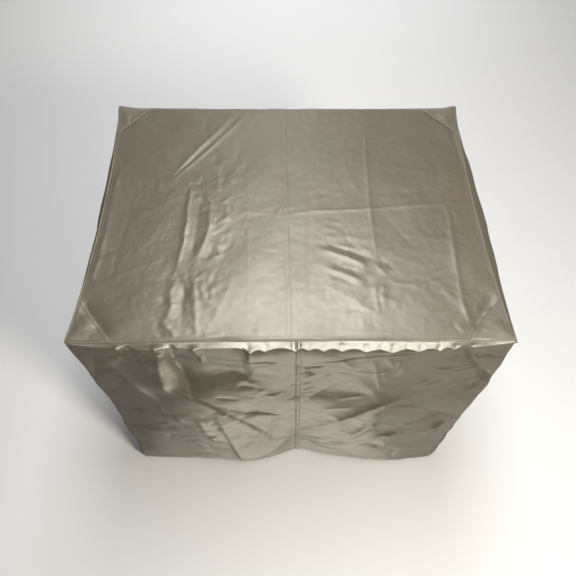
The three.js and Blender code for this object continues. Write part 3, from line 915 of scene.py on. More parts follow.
def gathered(run: Array, pace: float, drift: float, turn: float) -> Array:
    """How strongly a row of stitches pulls along its run, between 0.2 and 1."""
    return 0.6 + 0.4 * wander(run, pace, drift, turn)


def lengths(points: Array) -> Array:
    """Distance along a line of points, from 0 at its first."""
    return np.concatenate([[0], np.cumsum(np.linalg.norm(np.diff(points, axis=0), axis=1))])


@dataclass(frozen=True)
class FelledSeam:
    """The felled seam on a panel: its double layer, and the pull of its two rows of stitches.

    Only the right panels have the double layer, and the left ones feel a share of the pull.
    """

    rise: float
    edge: float
    pull: float
    left_share: float
    width: float = 10.0
    rows: tuple[float, float] = (1.2, 8.6)
    row_half: float = 1.2

    def height(self, side: Side, away: Array, pulled: Array) -> Array:
        """How far the seam changes the height of a panel.

        Args:
            side: Which half of the cover.
            away: Distance of the points from the seam.
            pulled: How strongly the stitches pull at each point.

        Returns:
            The change, outwards.
        """
        near = sum(np.exp(-(((away - row) / self.row_half) ** 2)) for row in self.rows)
        if side is Side.LEFT:
            return -self.pull * near * pulled * self.left_share
        layer = self.rise * (1 - smooth(self.width - self.edge, self.width + self.edge, away))
        return layer - self.pull * near * pulled


class SheetGrid:
    """A grid of points on the outer face of a sheet, with the marks of its columns and rows."""

    def __init__(self, points: Array, u: Array, v: Array, outward: float) -> None:
        """Keep the grid and work out its normals.

        Args:
            points: Columns by rows by three, in millimetres.
            u: Mark of each column.
            v: Mark of each row.
            outward: 1 or -1, which makes the normals point out of the cover.
        """
        self.points = points
        self.u = u
        self.v = v
        self.outward = outward
        du = np.gradient(points, axis=0)
        dv = np.gradient(points, axis=1)
        normals = np.cross(du, dv) * outward
        self.normals = normals / np.maximum(np.linalg.norm(normals, axis=2, keepdims=True), TINY)

    def lifted(self, height: Array | float) -> Array:
        """The grid moved along its normals.

        Args:
            height: How far, one value or one for each point.

        Returns:
            The moved points.
        """
        height = np.asarray(height, dtype=float)
        if height.ndim:
            height = height[..., None]
        return self.points + self.normals * height

    def sample(self, u: Array, v: Array) -> tuple[Array, Array]:
        """Points and normals at some marks.

        Args:
            u: Marks across the columns.
            v: Marks across the rows.

        Returns:
            The points and the unit normals there.
        """
        fi = np.interp(u, self.u, np.arange(len(self.u)))
        fj = np.interp(v, self.v, np.arange(len(self.v)))
        i = np.clip(fi.astype(int), 0, len(self.u) - 2)
        j = np.clip(fj.astype(int), 0, len(self.v) - 2)
        s = (fi - i)[:, None]
        t = (fj - j)[:, None]
        found = []
        for values in (self.points, self.normals):
            low = values[i, j] * (1 - s) + values[i + 1, j] * s
            high = values[i, j + 1] * (1 - s) + values[i + 1, j + 1] * s
            found.append(low * (1 - t) + high * t)
        return found[0], found[1] / np.linalg.norm(found[1], axis=1, keepdims=True)


def new_object(name: str, verts: Array, faces: Array, uvs: Array | None = None) -> bpy.types.Object:
    """Make an object from arrays.

    Args:
        name: Name of the object.
        verts: Points in millimetres.
        faces: One row of point numbers a face, all of one length.
        uvs: Flat coordinates of each point, in metres.

    Returns:
        The object, in the scene.
    """
    mesh = bpy.data.meshes.new(name)
    count, sides = faces.shape
    mesh.vertices.add(len(verts))
    mesh.vertices.foreach_set("co", (verts * MM).astype(np.float32).ravel())
    mesh.loops.add(count * sides)
    mesh.loops.foreach_set("vertex_index", faces.astype(np.int32).ravel())
    mesh.polygons.add(count)
    mesh.polygons.foreach_set("loop_start", np.arange(0, count * sides, sides, dtype=np.int32))
    mesh.polygons.foreach_set("use_smooth", np.ones(count, dtype=bool))
    if uvs is not None:
        layer = mesh.uv_layers.new(name="cloth")
        layer.data.foreach_set("uv", uvs[faces.ravel()].astype(np.float32).ravel())
    mesh.update(calc_edges=True)
    mesh.validate()
    obj = bpy.data.objects.new(name, mesh)
    bpy.context.scene.collection.objects.link(obj)
    return obj


def closed_sheet(name: str, grid: SheetGrid, outer: Array, inner: Array, uvs: Array) -> bpy.types.Object:
    """Make a thin closed sheet from its two faces.

    Args:
        name: Name of the object.
        grid: The grid the faces follow.
        outer: Points of the outer face, columns by rows by three.
        inner: Points of the inner face.
        uvs: Flat coordinates, columns by rows by two, in metres.

    Returns:
        The object.
    """
    columns, rows = outer.shape[:2]
    number = np.arange(columns * rows).reshape(columns, rows)
    a = number[:-1, :-1].ravel()
    b = number[1:, :-1].ravel()
    c = number[1:, 1:].ravel()
    d = number[:-1, 1:].ravel()
    behind = columns * rows
    front = np.stack([a, b, c, d], axis=1)
    back = np.stack([d, c, b, a], axis=1) + behind
    rim = np.concatenate([number[:, 0], number[-1, 1:], number[-2::-1, -1], number[0, -2:0:-1]])
    ahead = np.roll(rim, -1)
    edge = np.stack([ahead, rim, rim + behind, ahead + behind], axis=1)
    faces = np.concatenate([front, back, edge])
    if grid.outward < 0:
        faces = faces[:, ::-1]
    verts = np.concatenate([outer.reshape(-1, 3), inner.reshape(-1, 3)])
    flat = uvs.reshape(-1, 2)
    obj = new_object(name, verts, faces, np.concatenate([flat, flat]))
    obj.data.set_sharp_from_angle(angle=math.radians(RIM_ANGLE))
    return obj


def tube(
    name: str, centres: Array, across: Array, up: Array, radii: Array, sides: int, girth: float
) -> bpy.types.Object:
    """Make a closed ring of tube.

    Args:
        name: Name of the object.
        centres: Points along the ring's middle line.
        across: Unit vectors square to the line, level.
        up: Unit vectors square to both.
        radii: Radius at each point, across and up.
        sides: Number of sides of the section.
        girth: Way round the section, for its flat coordinates.

    Returns:
        The object.
    """
    turn = np.arange(sides) * 2 * math.pi / sides
    ring = (
        centres[:, None, :]
        + across[:, None, :] * (np.cos(turn)[None, :, None] * radii[:, 0, None, None])
        + up[:, None, :] * (np.sin(turn)[None, :, None] * radii[:, 1, None, None])
    )
    count = len(centres)
    number = np.arange(count * sides).reshape(count, sides)
    ahead = np.roll(number, -1, axis=0)
    loops = (number, ahead, np.roll(ahead, -1, axis=1), np.roll(number, -1, axis=1))
    faces = np.stack([loop.ravel() for loop in loops], axis=1)
    around = turn / (2 * math.pi) * girth * MM
    uvs = np.stack(np.broadcast_arrays(lengths(centres)[:, None] * MM, around[None, :]), axis=2)
    return new_object(name, ring.reshape(-1, 3), faces, uvs.reshape(-1, 2))


@dataclass(frozen=True)
class StitchSize:
    """Sizes of a machine stitch, with a row for each of its sections.

    The columns of a section are its place as a share of the length, its width as a share of the half width
    and its height as a share of the whole width.
    """

    pitch: float = 4.2
    length: float = 3.1
    half: float = 0.42
    flat: float = 0.8
    sides: int = 6
    look: float = 1.2
    sections: tuple[tuple[float, float, float], ...] = (
        (-0.5, 0.35, -0.35),
        (-0.34, 0.85, 0.05),
        (0, 1, 0.22),
        (0.34, 0.85, 0.05),
        (0.5, 0.35, -0.35),
    )

    def places(self, paths: list[StitchPath]) -> tuple[Array, Array, Array]:
        """Where the stitches lie.

        Args:
            paths: The rows.

        Returns:
            The middle of each stitch, the unit vector along it and the unit vector away from the cloth.
        """
        found = []
        for points, lifts in paths:
            run = lengths(points)
            marks = np.arange(self.pitch / 2, run[-1] - self.pitch / 2, self.pitch)

            def at(places: Array, values: Array) -> Array:
                """Values at some places of the run."""
                return np.stack([np.interp(places, run, values[:, k]) for k in range(3)], axis=1)

            ahead = at(marks + self.look, points) - at(marks - self.look, points)
            found.append((at(marks, points), ahead, at(marks, lifts)))
        centre, ahead, out = (np.concatenate(part) for part in zip(*found))
        ahead /= np.linalg.norm(ahead, axis=1, keepdims=True)
        out -= ahead * (out * ahead).sum(axis=1, keepdims=True)
        out /= np.linalg.norm(out, axis=1, keepdims=True)
        return centre, ahead, out

    def quads(self) -> Array:
        """Faces of one stitch: its sides, and both ends as fans of quads.

        Returns:
            Four point numbers for each face.
        """
        number = np.arange(len(self.sections) * self.sides).reshape(-1, self.sides)
        ahead = np.roll(number, -1, axis=1)
        sides = np.stack([number[:-1], ahead[:-1], ahead[1:], number[1:]], axis=2).reshape(-1, 4)
        ends = []
        for ring in (number[0, ::-1], number[-1]):
            for m in range(self.sides // 2 - 1):
                ends.append([ring[0], ring[2 * m + 1], ring[2 * m + 2], ring[2 * m + 3]])
        return np.concatenate([sides, ends])

    def row(self, name: str, paths: list[StitchPath]) -> bpy.types.Object:
        """Make rows of stitches as one mesh.

        Args:
            name: Name of the object.
            paths: The rows.

        Returns:
            The object.
        """
        centre, ahead, out = self.places(paths)
        aside = np.cross(out, ahead)
        turn = np.arange(self.sides) * 2 * math.pi / self.sides
        verts = np.empty((len(centre), len(self.sections), self.sides, 3))
        for k, (place, width, height) in enumerate(self.sections):
            middle = centre + ahead * (place * self.length) + out * (height * self.half * 2)
            verts[:, k] = (
                middle[:, None, :]
                + aside[:, None, :] * (np.cos(turn) * (width * self.half))[None, :, None]
                + out[:, None, :] * (np.sin(turn) * (width * self.half) * self.flat)[None, :, None]
            )
        offsets = np.arange(len(centre))[:, None, None] * len(self.sections) * self.sides
        faces = (self.quads()[None] + offsets).reshape(-1, 4)
        return new_object(name, verts.reshape(-1, 3), faces)


class NodeBench:
    """A small helper that adds and joins shader nodes in one tree."""

    def __init__(self, tree: bpy.types.NodeTree) -> None:
        """Keep the tree.

        Args:
            tree: The node tree to work in.
        """
        self.tree = tree

    def feed(self, node: bpy.types.Node, inputs: Inputs) -> None:
        """Set inputs of a node.

        Args:
            node: The node.
            inputs: What they get.
        """
        for key, value in inputs.items():
            if isinstance(value, bpy.types.NodeSocket):
                self.tree.links.new(value, node.inputs[key])
            else:
                node.inputs[key].default_value = value

    def add(self, kind: str, inputs: Inputs | None = None, **settings: object) -> bpy.types.Node:
        """Add a node.

        Args:
            kind: Blender's name for the type of node.
            inputs: What its inputs get.
            settings: Its properties.

        Returns:
            The node.
        """
        node = self.tree.nodes.new(kind)
        for key, value in settings.items():
            setattr(node, key, value)
        self.feed(node, inputs or {})
        return node

    def maths(self, operation: str, *values: object) -> bpy.types.NodeSocket:
        """The output of a new Math node with some numbers or outputs for its inputs."""
        return self.add("ShaderNodeMath", dict(enumerate(values)), operation=operation).outputs[0]


class GroupKind(Enum):
    """The shader groups that several finishes share."""

    WEAVE = "plain_weave"
    CRINKLE = "crinkled_coating"
    MOTTLE = "uneven_colour"


class ShaderGroups:
    """Builds each shared shader group once."""

    def __init__(self) -> None:
        """Start with no group built."""
        self.built: dict[GroupKind, bpy.types.NodeTree] = {}

    def get(self, kind: GroupKind) -> bpy.types.NodeTree:
        """The group of a kind, built the first time it is asked for.

        Args:
            kind: Which group.

        Returns:
            The group.
        """
        if kind not in self.built:
            makers = {
                GroupKind.WEAVE: self.weave,
                GroupKind.CRINKLE: self.crinkle,
                GroupKind.MOTTLE: self.mottle,
            }
            self.built[kind] = makers[kind]()
        return self.built[kind]

    @staticmethod
    def start(
        kind: GroupKind, inputs: tuple[tuple[str, str, object], ...], outputs: tuple[tuple[str, str], ...]
    ) -> tuple[NodeBench, bpy.types.NodeOutputs, bpy.types.Node]:
        """Open a new group.

        Args:
            kind: Which group.
            inputs: Name, type and default of each input.
            outputs: Name and type of each output.

        Returns:
            The bench, what the group is given and its output node.
        """
        tree = bpy.data.node_groups.new(kind.value, "ShaderNodeTree")
        for name, word, default in inputs:
            socket = tree.interface.new_socket(name=name, in_out="INPUT", socket_type=f"NodeSocket{word}")
            if default is not None:
                socket.default_value = default
        for name, word in outputs:
            tree.interface.new_socket(name=name, in_out="OUTPUT", socket_type=f"NodeSocket{word}")
        bench = NodeBench(tree)
        return bench, bench.add("NodeGroupInput").outputs, bench.add("NodeGroupOutput")

    def weave(self) -> bpy.types.NodeTree:
        """A plain weave of two thread directions, as a height.

        Returns:
            The group.
        """
        bench, given, sink = self.start(
            GroupKind.WEAVE,
            (("Flat", "Vector", None), ("Threads per Metre", "Float", 1600.0)),
            (("Height", "Float"),),
        )
        parts = bench.add("ShaderNodeSeparateXYZ", {0: given["Flat"]})
        waves = []
        for axis in (0, 1):
            turns = bench.maths("MULTIPLY", parts.outputs[axis], given["Threads per Metre"])
            waves.append(bench.maths("SINE", bench.maths("MULTIPLY", turns, math.pi)))
        product = bench.maths("MULTIPLY", *waves)
        bench.feed(sink, {"Height": bench.maths("MULTIPLY_ADD", product, 0.5, 0.5)})
        return bench.tree

    def crinkle(self) -> bpy.types.NodeTree:
        """Small sharp creases of a coated cloth, as a height and as a mask of the creases.

        Returns:
            The group.
        """
        bench, given, sink = self.start(
            GroupKind.CRINKLE,
            (("Place", "Vector", None), ("Scale", "Float", 30.0), ("Detail", "Float", 3.0)),
            (("Height", "Float"), ("Crease", "Float")),
        )
        bent = (0.035, 0.035, 0.035)
        narrow = -4.0
        sharp = 6.0
        warp = bench.add("ShaderNodeTexNoise", {"Scale": 9.0, "Vector": given["Place"]})
        moved = bench.add(
            "ShaderNodeVectorMath",
            {0: warp.outputs["Color"], 1: bent, 2: given["Place"]},
            operation="MULTIPLY_ADD",
        )
        noise = bench.add(
            "ShaderNodeTexNoise",
            {"Vector": moved.outputs[0], "Scale": given["Scale"], "Detail": given["Detail"]},
        )
        ridge = bench.maths("ABSOLUTE", bench.maths("SUBTRACT", noise.outputs["Fac"], 0.5))
        peak = bench.maths("MULTIPLY_ADD", ridge, narrow, 1.0)
        crease = bench.maths("POWER", bench.maths("MAXIMUM", peak, 0.0), sharp)
        bench.feed(sink, {"Height": noise.outputs["Fac"], "Crease": crease})
        return bench.tree

    def mottle(self) -> bpy.types.NodeTree:
        """A slow change between two colours, with a value that follows it.

        Returns:
            The group.
        """
        grey = (0.5, 0.5, 0.5, 1)
        bench, given, sink = self.start(
            GroupKind.MOTTLE,
            (
                ("Place", "Vector", None),
                ("Scale", "Float", 6.0),
                ("First", "Color", grey),
                ("Second", "Color", grey),
            ),
            (("Color", "Color"), ("Value", "Float")),
        )
        noise = bench.add(
            "ShaderNodeTexNoise",
            {"Vector": given["Place"], "Scale": given["Scale"], "Detail": 5.0, "Roughness": 0.6},
        )
        ease = bench.add(
            "ShaderNodeMapRange", {"Value": noise.outputs["Fac"], "From Min": 0.35, "From Max": 0.65}
        )
        inputs = {0: ease.outputs["Result"], 6: given["First"], 7: given["Second"]}
        blend = bench.add("ShaderNodeMix", inputs, data_type="RGBA")
        bench.feed(sink, {"Color": blend.outputs[2], "Value": ease.outputs["Result"]})
        return bench.tree


class FinishBench(NodeBench):
    """The bench of one material, with the steps that every finish shares."""

    def __init__(self, name: str, groups: ShaderGroups) -> None:
        """Make the material.

        Args:
            name: Its name.
            groups: The shared shader groups.
        """
        self.material = bpy.data.materials.new(name)
        self.material.use_nodes = True
        super().__init__(self.material.node_tree)
        self.groups = groups
        self.shader = self.tree.nodes["Principled BSDF"]
        self.place = self.add("ShaderNodeTexCoord").outputs

    def group(self, kind: GroupKind, inputs: Inputs) -> bpy.types.NodeOutputs:
        """Outputs of a shared group, placed in this material with its own values."""
        return self.add("ShaderNodeGroup", inputs, node_tree=self.groups.get(kind)).outputs

    def mottled(
        self, scale: float, light: Colour, dark: Colour, smoothest: float, roughest: float
    ) -> bpy.types.NodeSocket:
        """Let roughness and colour change slowly.

        Args:
            scale: Scale of the change.
            light: First colour.
            dark: Second colour.
            smoothest: Roughness with the first colour.
            roughest: Roughness with the second.

        Returns:
            The colour, which the caller joins.
        """
        inputs = {"Place": self.place["Object"], "Scale": scale, "First": (*light, 1), "Second": (*dark, 1)}
        mottle = self.group(GroupKind.MOTTLE, inputs)
        rough = self.maths("MULTIPLY_ADD", mottle["Value"], roughest - smoothest, smoothest)
        self.feed(self.shader, {"Roughness": rough})
        return mottle["Color"]

    def woven(self, threads: float, depth: float) -> bpy.types.NodeSocket:
        """The normal of a weave with some threads per metre and a depth in metres."""
        weave = self.group(GroupKind.WEAVE, {"Flat": self.place["UV"], "Threads per Metre": threads})
        return self.add("ShaderNodeBump", {"Distance": depth, "Height": weave["Height"]}).outputs["Normal"]


@dataclass(frozen=True)
class SatinCloth:
    """Coated polyester with a satin sheen, a fine weave and small creases."""

    name: str
    light: Colour = (0.120, 0.101, 0.075)
    dark: Colour = (0.107, 0.090, 0.066)
    rubbed: Colour = (0.143, 0.124, 0.095)
    rubbing: float = 0.1
    mottle_scale: float = 7.0
    smoothest: float = 0.31
    roughest: float = 0.38
    bend: float = 1.6
    gloss: float = 0.9
    gloss_tint: Colour = (1.0, 0.955, 0.865)
    crinkle_scale: float = 55.0
    crinkle_depth: float = 0.0006
    threads: float = 1400.0
    weave_depth: float = 0.00004
    sheen: float = 0.06
    sheen_roughness: float = 0.5

    def build(self, groups: ShaderGroups) -> bpy.types.Material:
        """Make the material.

        Args:
            groups: The shared shader groups.

        Returns:
            The material.
        """
        bench = FinishBench(self.name, groups)
        colour = bench.mottled(self.mottle_scale, self.light, self.dark, self.smoothest, self.roughest)
        inputs = {"Place": bench.place["Object"], "Scale": self.crinkle_scale, "Detail": 1.0}
        crinkle = bench.group(GroupKind.CRINKLE, inputs)
        share = bench.maths("MULTIPLY", crinkle["Crease"], self.rubbing)
        worn = bench.add("ShaderNodeMix", {0: share, 6: colour, 7: (*self.rubbed, 1)}, data_type="RGBA")
        woven = bench.woven(self.threads, self.weave_depth)
        bump = bench.add(
            "ShaderNodeBump",
            {"Distance": self.crinkle_depth, "Height": crinkle["Height"], "Normal": woven},
        )
        bench.feed(
            bench.shader,
            {
                "Base Color": worn.outputs[2],
                "IOR": self.bend,
                "Specular IOR Level": self.gloss,
                "Specular Tint": (*self.gloss_tint, 1),
                "Sheen Weight": self.sheen,
                "Sheen Roughness": self.sheen_roughness,
                "Normal": bump.outputs["Normal"],
            },
        )
        return bench.material


@dataclass(frozen=True)
class BindingTape:
    """Folded ribbed tape along the top edge."""

    name: str = "binding_tape"
    light: Colour = (0.195, 0.170, 0.132)
    dark: Colour = (0.155, 0.135, 0.105)
    mottle_scale: float = 22.0
    smoothest: float = 0.38
    roughest: float = 0.5
    ribs: float = 900.0
    rib_depth: float = 0.00012

    def build(self, groups: ShaderGroups) -> bpy.types.Material:
        """Make the material.

        Args:
            groups: The shared shader groups.

        Returns:
            The material.
        """
        bench = FinishBench(self.name, groups)
        colour = bench.mottled(self.mottle_scale, self.light, self.dark, self.smoothest, self.roughest)
        bench.feed(bench.shader, {"Base Color": colour, "Normal": bench.woven(self.ribs, self.rib_depth)})
        return bench.material


@dataclass(frozen=True)
class Thread:
    """Sewing thread, a little lighter than the cloth."""

    name: str = "sewing_thread"
    light: Colour = (0.30, 0.268, 0.21)
    dark: Colour = (0.22, 0.194, 0.15)
    mottle_scale: float = 60.0
    smoothest: float = 0.5
    roughest: float = 0.65

    def build(self, groups: ShaderGroups) -> bpy.types.Material:
        """Make the material.

        Args:
            groups: The shared shader groups.

        Returns:
            The material.
        """
        bench = FinishBench(self.name, groups)
        colour = bench.mottled(self.mottle_scale, self.light, self.dark, self.smoothest, self.roughest)
        bench.feed(bench.shader, {"Base Color": colour})
        return bench.material


@dataclass(frozen=True)
class PaleFloor:
    """Plain pale floor of the studio."""

    name: str = "pale_floor"
    colour: Colour = (0.93, 0.94, 0.96)
    roughness: float = 0.7

    def build(self) -> bpy.types.Material:
        """Make the material.

        Returns:
            The material.
        """
        material = bpy.data.materials.new(self.name)
        material.use_nodes = True
        shader = material.node_tree.nodes["Principled BSDF"]
        shader.inputs["Base Color"].default_value = (*self.colour, 1)
        shader.inputs["Roughness"].default_value = self.roughness
        return material


def dress(obj: bpy.types.Object, material: bpy.types.Material, slot: str, *nodes: str) -> None:
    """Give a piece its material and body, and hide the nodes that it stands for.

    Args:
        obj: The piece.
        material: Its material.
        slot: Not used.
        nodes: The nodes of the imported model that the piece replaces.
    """
    obj.data.materials.append(material)
    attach(obj, "root")
    if nodes:
        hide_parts(*nodes)
    LOG.info("%s: %d faces", obj.name, len(obj.data.polygons))


@dataclass
class TopPanel:
    """One half of the top, from the middle seam out to the bound edge."""

    side: Side
    shape: ClothShape
    seam: SeamLine
    fell: FelledSeam = FelledSeam(rise=0.3, edge=1.6, pull=0.1, left_share=0.3)
    cloth: float = 1.0
    joint_gap: float = 0.06
    tucked: float = 2.0
    seam_band: float = 14.0
    rim_band: float = 8.0
    step: float = 3.1
    seam_step: float = 1.2
    rim_step: float = 2.0

    def seam_x(self, v: Array) -> Array:
        """Where the middle seam lies along X, at shares of the way from the front edge to the back."""
        return self.seam.top_front + (self.seam.top_back - self.seam.top_front) * v

    def plan(self, u: Array, v: Array) -> tuple[Array, Array]:
        """Where points of the panel lie in plan.

        Args:
            u: Share of the way from the seam to the side edge.
            v: Share of the way from the front edge to the back.

        Returns:
            X and Y of the points.
        """
        size = self.shape.size
        sign = self.side.value
        line = self.seam_x(v)
        flat_y = -size.depth / 2 + size.depth * v
        flat_x = line + (sign * size.width / 2 - line) * u
        wall = Wall.RIGHT if sign > 0 else Wall.LEFT
        none = np.zeros(np.shape(flat_y))
        inset = size.panel_inset - self.tucked
        edge_x = sign * (size.width / 2 + self.shape.wall_out(wall, flat_y, none, False) - inset)
        front_y = -size.depth / 2 - self.shape.wall_out(Wall.FRONT, flat_x, none, False) + inset
        back_y = size.depth / 2 + self.shape.wall_out(Wall.BACK, flat_x, none, False) - inset
        joint = line + sign * self.joint_gap / 2
        return joint + (edge_x - joint) * u, front_y + (back_y - front_y) * v

    def surface(self, u: Array, v: Array) -> Array:
        """Points of the outer face at shares of the panel.

        Args:
            u: Share of the way from the seam to the side edge.
            v: Share of the way from the front edge to the back.

        Returns:
            The points.
        """
        x, y = self.plan(u, v)
        z = self.shape.top_height(x, y, True) + self.shape.size.solid_cloth
        pulled = gathered(y, pace=7.3, drift=31, turn=2.2)
        z = z + self.fell.height(self.side, np.abs(x - self.seam_x(v)), pulled)
        return np.stack([x, y, z], axis=-1)

    def grid(self) -> SheetGrid:
        """Lay the outer face out.

        Returns:
            Its grid.
        """
        size = self.shape.size
        width = size.width / 2
        rim = self.rim_band
        across = spread(
            (0, self.seam_band, self.seam_step),
            (self.seam_band, width - rim, self.step),
            (width - rim, width, self.rim_step),
        )
        back = spread(
            (0, rim, self.rim_step),
            (rim, size.depth - rim, self.step),
            (size.depth - rim, size.depth, self.rim_step),
        )
        marks_u = across / width
        marks_v = back / size.depth
        u, v = np.meshgrid(marks_u, marks_v, indexing="ij")
        return SheetGrid(self.surface(u, v), marks_u, marks_v, float(self.side.value))

    def build(self, name: str, node: str, material: bpy.types.Material) -> SheetGrid:
        """Make the panel.

        Args:
            name: Name of the piece.
            node: The node that it replaces.
            material: Its material.

        Returns:
            The grid of its outer face.
        """
        grid = self.grid()
        size = self.shape.size
        inner = grid.lifted(-self.cloth)
        flat = np.stack(np.meshgrid(grid.u * size.width / 2, grid.v * size.depth, indexing="ij"), axis=2) * MM
        obj = closed_sheet(name, grid, grid.points, inner, flat)
        dress(obj, material, "cloth", node)
        return grid


@dataclass
class SkirtPanel:
    """One half of the skirt, from the front seam round the side to the back seam, with its turned hem."""

    side: Side
    shape: ClothShape
    seam: SeamLine
    fell: FelledSeam = FelledSeam(rise=1.2, edge=0.8, pull=1.6, left_share=0.4)
    cloth: float = 1.0
    tucked: float = 1.2
    hem_outer: float = 0.5
    hem_inner: float = 0.9
    hem_edge: float = 1.0
    hem_row: float = 3.0
    hem_row_half: float = 1.6
    hem_pull: float = 0.4
    steepest: float = 0.6
    seam_band: float = 14.0
    corner_band: float = 40.0

    def stations(self) -> list[tuple[Wall, Array, Array]]:
        """Place the columns of the grid, in order round the panel.

        Returns:
            Each wall with the places of its columns along it, at the top edge and at the hem.
        """
        size = self.shape.size
        sign = self.side.value
        half = size.width / 2
        band = self.corner_band
        front = spread((0, self.seam_band, 0.9), (self.seam_band, half, 2.9)) / half
        sides = spread((0, band, 4.0), (band, size.depth - band, 12.0), (size.depth - band, size.depth, 5.0))
        back = spread(
            (0, self.seam_band, 2.4), (self.seam_band, half - band, 12.0), (half - band, half, 5.0)
        )
        inner = sides[1:-1] - size.depth / 2

        def run(shares: Array, top: float, hem: float) -> tuple[Array, Array]:
            """Places along a front or back wall for shares of the way from the seam to the corner."""
            return top + (sign * half - top) * shares, hem + (sign * half - hem) * shares

        return [
            (Wall.FRONT, *run(front, self.seam.front, self.seam.front_hem)),
            (Wall.RIGHT if sign > 0 else Wall.LEFT, inner, inner),
            (Wall.BACK, *run(back[::-1] / half, self.seam.back, self.seam.back_hem)),
        ]

    def down_marks(self) -> Array:
        """Place the rows of the grid, from the top edge to the hem.

        Returns:
            The marks, closest where the shelf turns and where the hem begins.
        """
        drop = self.shape.size.drop
        hem = drop - self.shape.size.hem_height
        return spread(
            (0, 30, 1.6),
            (30, 90, 2.6),
            (90, hem - 3, 3.5),
            (hem - 3, hem + 6, 1.8),
            (hem + 6, drop, 4.0),
        )

    def grid(self) -> SheetGrid:
        """Lay the outer face out.

        Returns:
            Its grid.
        """
        size = self.shape.size
        down = self.down_marks()
        share = down / size.drop
        blocks = {True: [], False: []}
        for wall, top, hem in self.stations():
            along = top[:, None] + (hem - top)[:, None] * share[None, :]
            below = np.broadcast_to(down[None, :], along.shape)
            for fine in (True, False):
                blocks[fine].append(np.stack(self.shape.wall_plan(wall, along, below, fine), axis=2))
        plan = np.concatenate(blocks[True])
        base = np.concatenate(blocks[False])
        moved = np.linalg.norm(np.diff(base, axis=1), axis=2)
        steps = np.diff(down)[None, :]
        fall = np.sqrt(np.maximum(steps**2 - moved**2, (self.steepest * steps) ** 2))
        start = size.skirt_top + self.tucked + self.shape.top_height(base[:, 0, 0], base[:, 0, 1], False)
        z = start[:, None] - np.concatenate([np.zeros((len(start), 1)), np.cumsum(fall, axis=1)], axis=1)
        for end in (0, -1):
            plan[end, :, 0] += self.side.value * size.gap / 2
        points = np.concatenate([plan, z[:, :, None]], axis=2)
        return SheetGrid(points, lengths(base[:, 0]), down, -float(self.side.value))

    def build(self, name: str, node: str, material: bpy.types.Material) -> SheetGrid:
        """Make the panel.

        Args:
            name: Name of the piece.
            node: The node that it replaces.
            material: Its material.

        Returns:
            The grid of its outer face.
        """
        size = self.shape.size
        grid = self.grid()
        fold = size.drop - size.hem_height
        hem = smooth(fold - self.hem_edge, fold + self.hem_edge, grid.v)[None, :]
        away = np.minimum(grid.u, grid.u[-1] - grid.u)[:, None]
        pulled = gathered(grid.v, pace=6.7, drift=29, turn=2.2)[None, :]
        sewn = np.exp(-(((grid.v - fold - self.hem_row) / self.hem_row_half) ** 2))[None, :]
        sewn = sewn * gathered(grid.u, pace=7.1, drift=37, turn=2)[:, None]
        lift = self.hem_outer * hem + self.fell.height(self.side, away, pulled) - self.hem_pull * sewn
        outer = grid.lifted(lift)
        inner = grid.lifted(-self.cloth - self.hem_inner * hem)
        flat = np.stack(np.meshgrid(grid.u, grid.v, indexing="ij"), axis=2) * MM
        obj = closed_sheet(name, grid, outer, inner, flat)
        dress(obj, material, "cloth", node)
        return SheetGrid(outer, grid.u, grid.v, grid.outward)


@dataclass
class EdgeBinding:
    """The bound edge round the top, where the top and the skirt meet."""

    shape: ClothShape
    seam: SeamLine
    sides: int = 12
    girth: float = 16.0
    wobble: float = 0.3
    swell: float = 0.07
    broad: float = 0.95
    flat: float = 0.86
    sunk: float = 0.35
    closest: float = 0.8

    def outline(self) -> Array:
        """Follow the corner line round the top.

        Returns:
            Points of the line in order, none too close to the next.
        """
        rows = []
        for side in (Side.RIGHT, Side.LEFT):
            parts = []
            for wall, top, _ in SkirtPanel(side, self.shape, self.seam).stations():
                plan = self.shape.wall_plan(wall, top, np.zeros(top.shape), False)
                parts.append(np.stack(plan, axis=1))
            rows.append(np.concatenate(parts))
        points = np.concatenate([rows[0], rows[1][-2:0:-1]])
        steps = np.linalg.norm(np.diff(points, axis=0, append=points[:1]), axis=1)
        return points[steps > self.closest]

    def build(self, name: str, node: str, material: bpy.types.Material) -> None:
        """Make the binding.

        Args:
            name: Name of the piece.
            node: The node that it replaces.
            material: Its material.
        """
        size = self.shape.size
        plan = self.outline()
        ahead = np.roll(plan, -1, axis=0) - np.roll(plan, 1, axis=0)
        ahead /= np.linalg.norm(ahead, axis=1, keepdims=True)
        out = np.stack([ahead[:, 1], -ahead[:, 0], np.zeros(len(plan))], axis=1)
        run = lengths(plan)
        z = self.shape.top_height(plan[:, 0], plan[:, 1], False) + size.binding_lift - self.sunk
        centres = np.concatenate([plan, z[:, None]], axis=1) - out * size.binding_inset
        centres[:, 2] += self.wobble * wander(run, pace=17, drift=53, turn=2)
        centres += out * (self.wobble * wander(run, pace=23, drift=41, turn=1.7))[:, None]
        up = np.tile([0.0, 0.0, 1.0], (len(plan), 1))
        swell = 1 + self.swell * wander(run, pace=9, drift=31, turn=2)
        radii = size.binding_half * np.stack([self.broad * swell, self.flat * swell], axis=1)
        obj = tube(name, centres, out, up, radii, self.sides, self.girth)
        dress(obj, material, "binding", node)


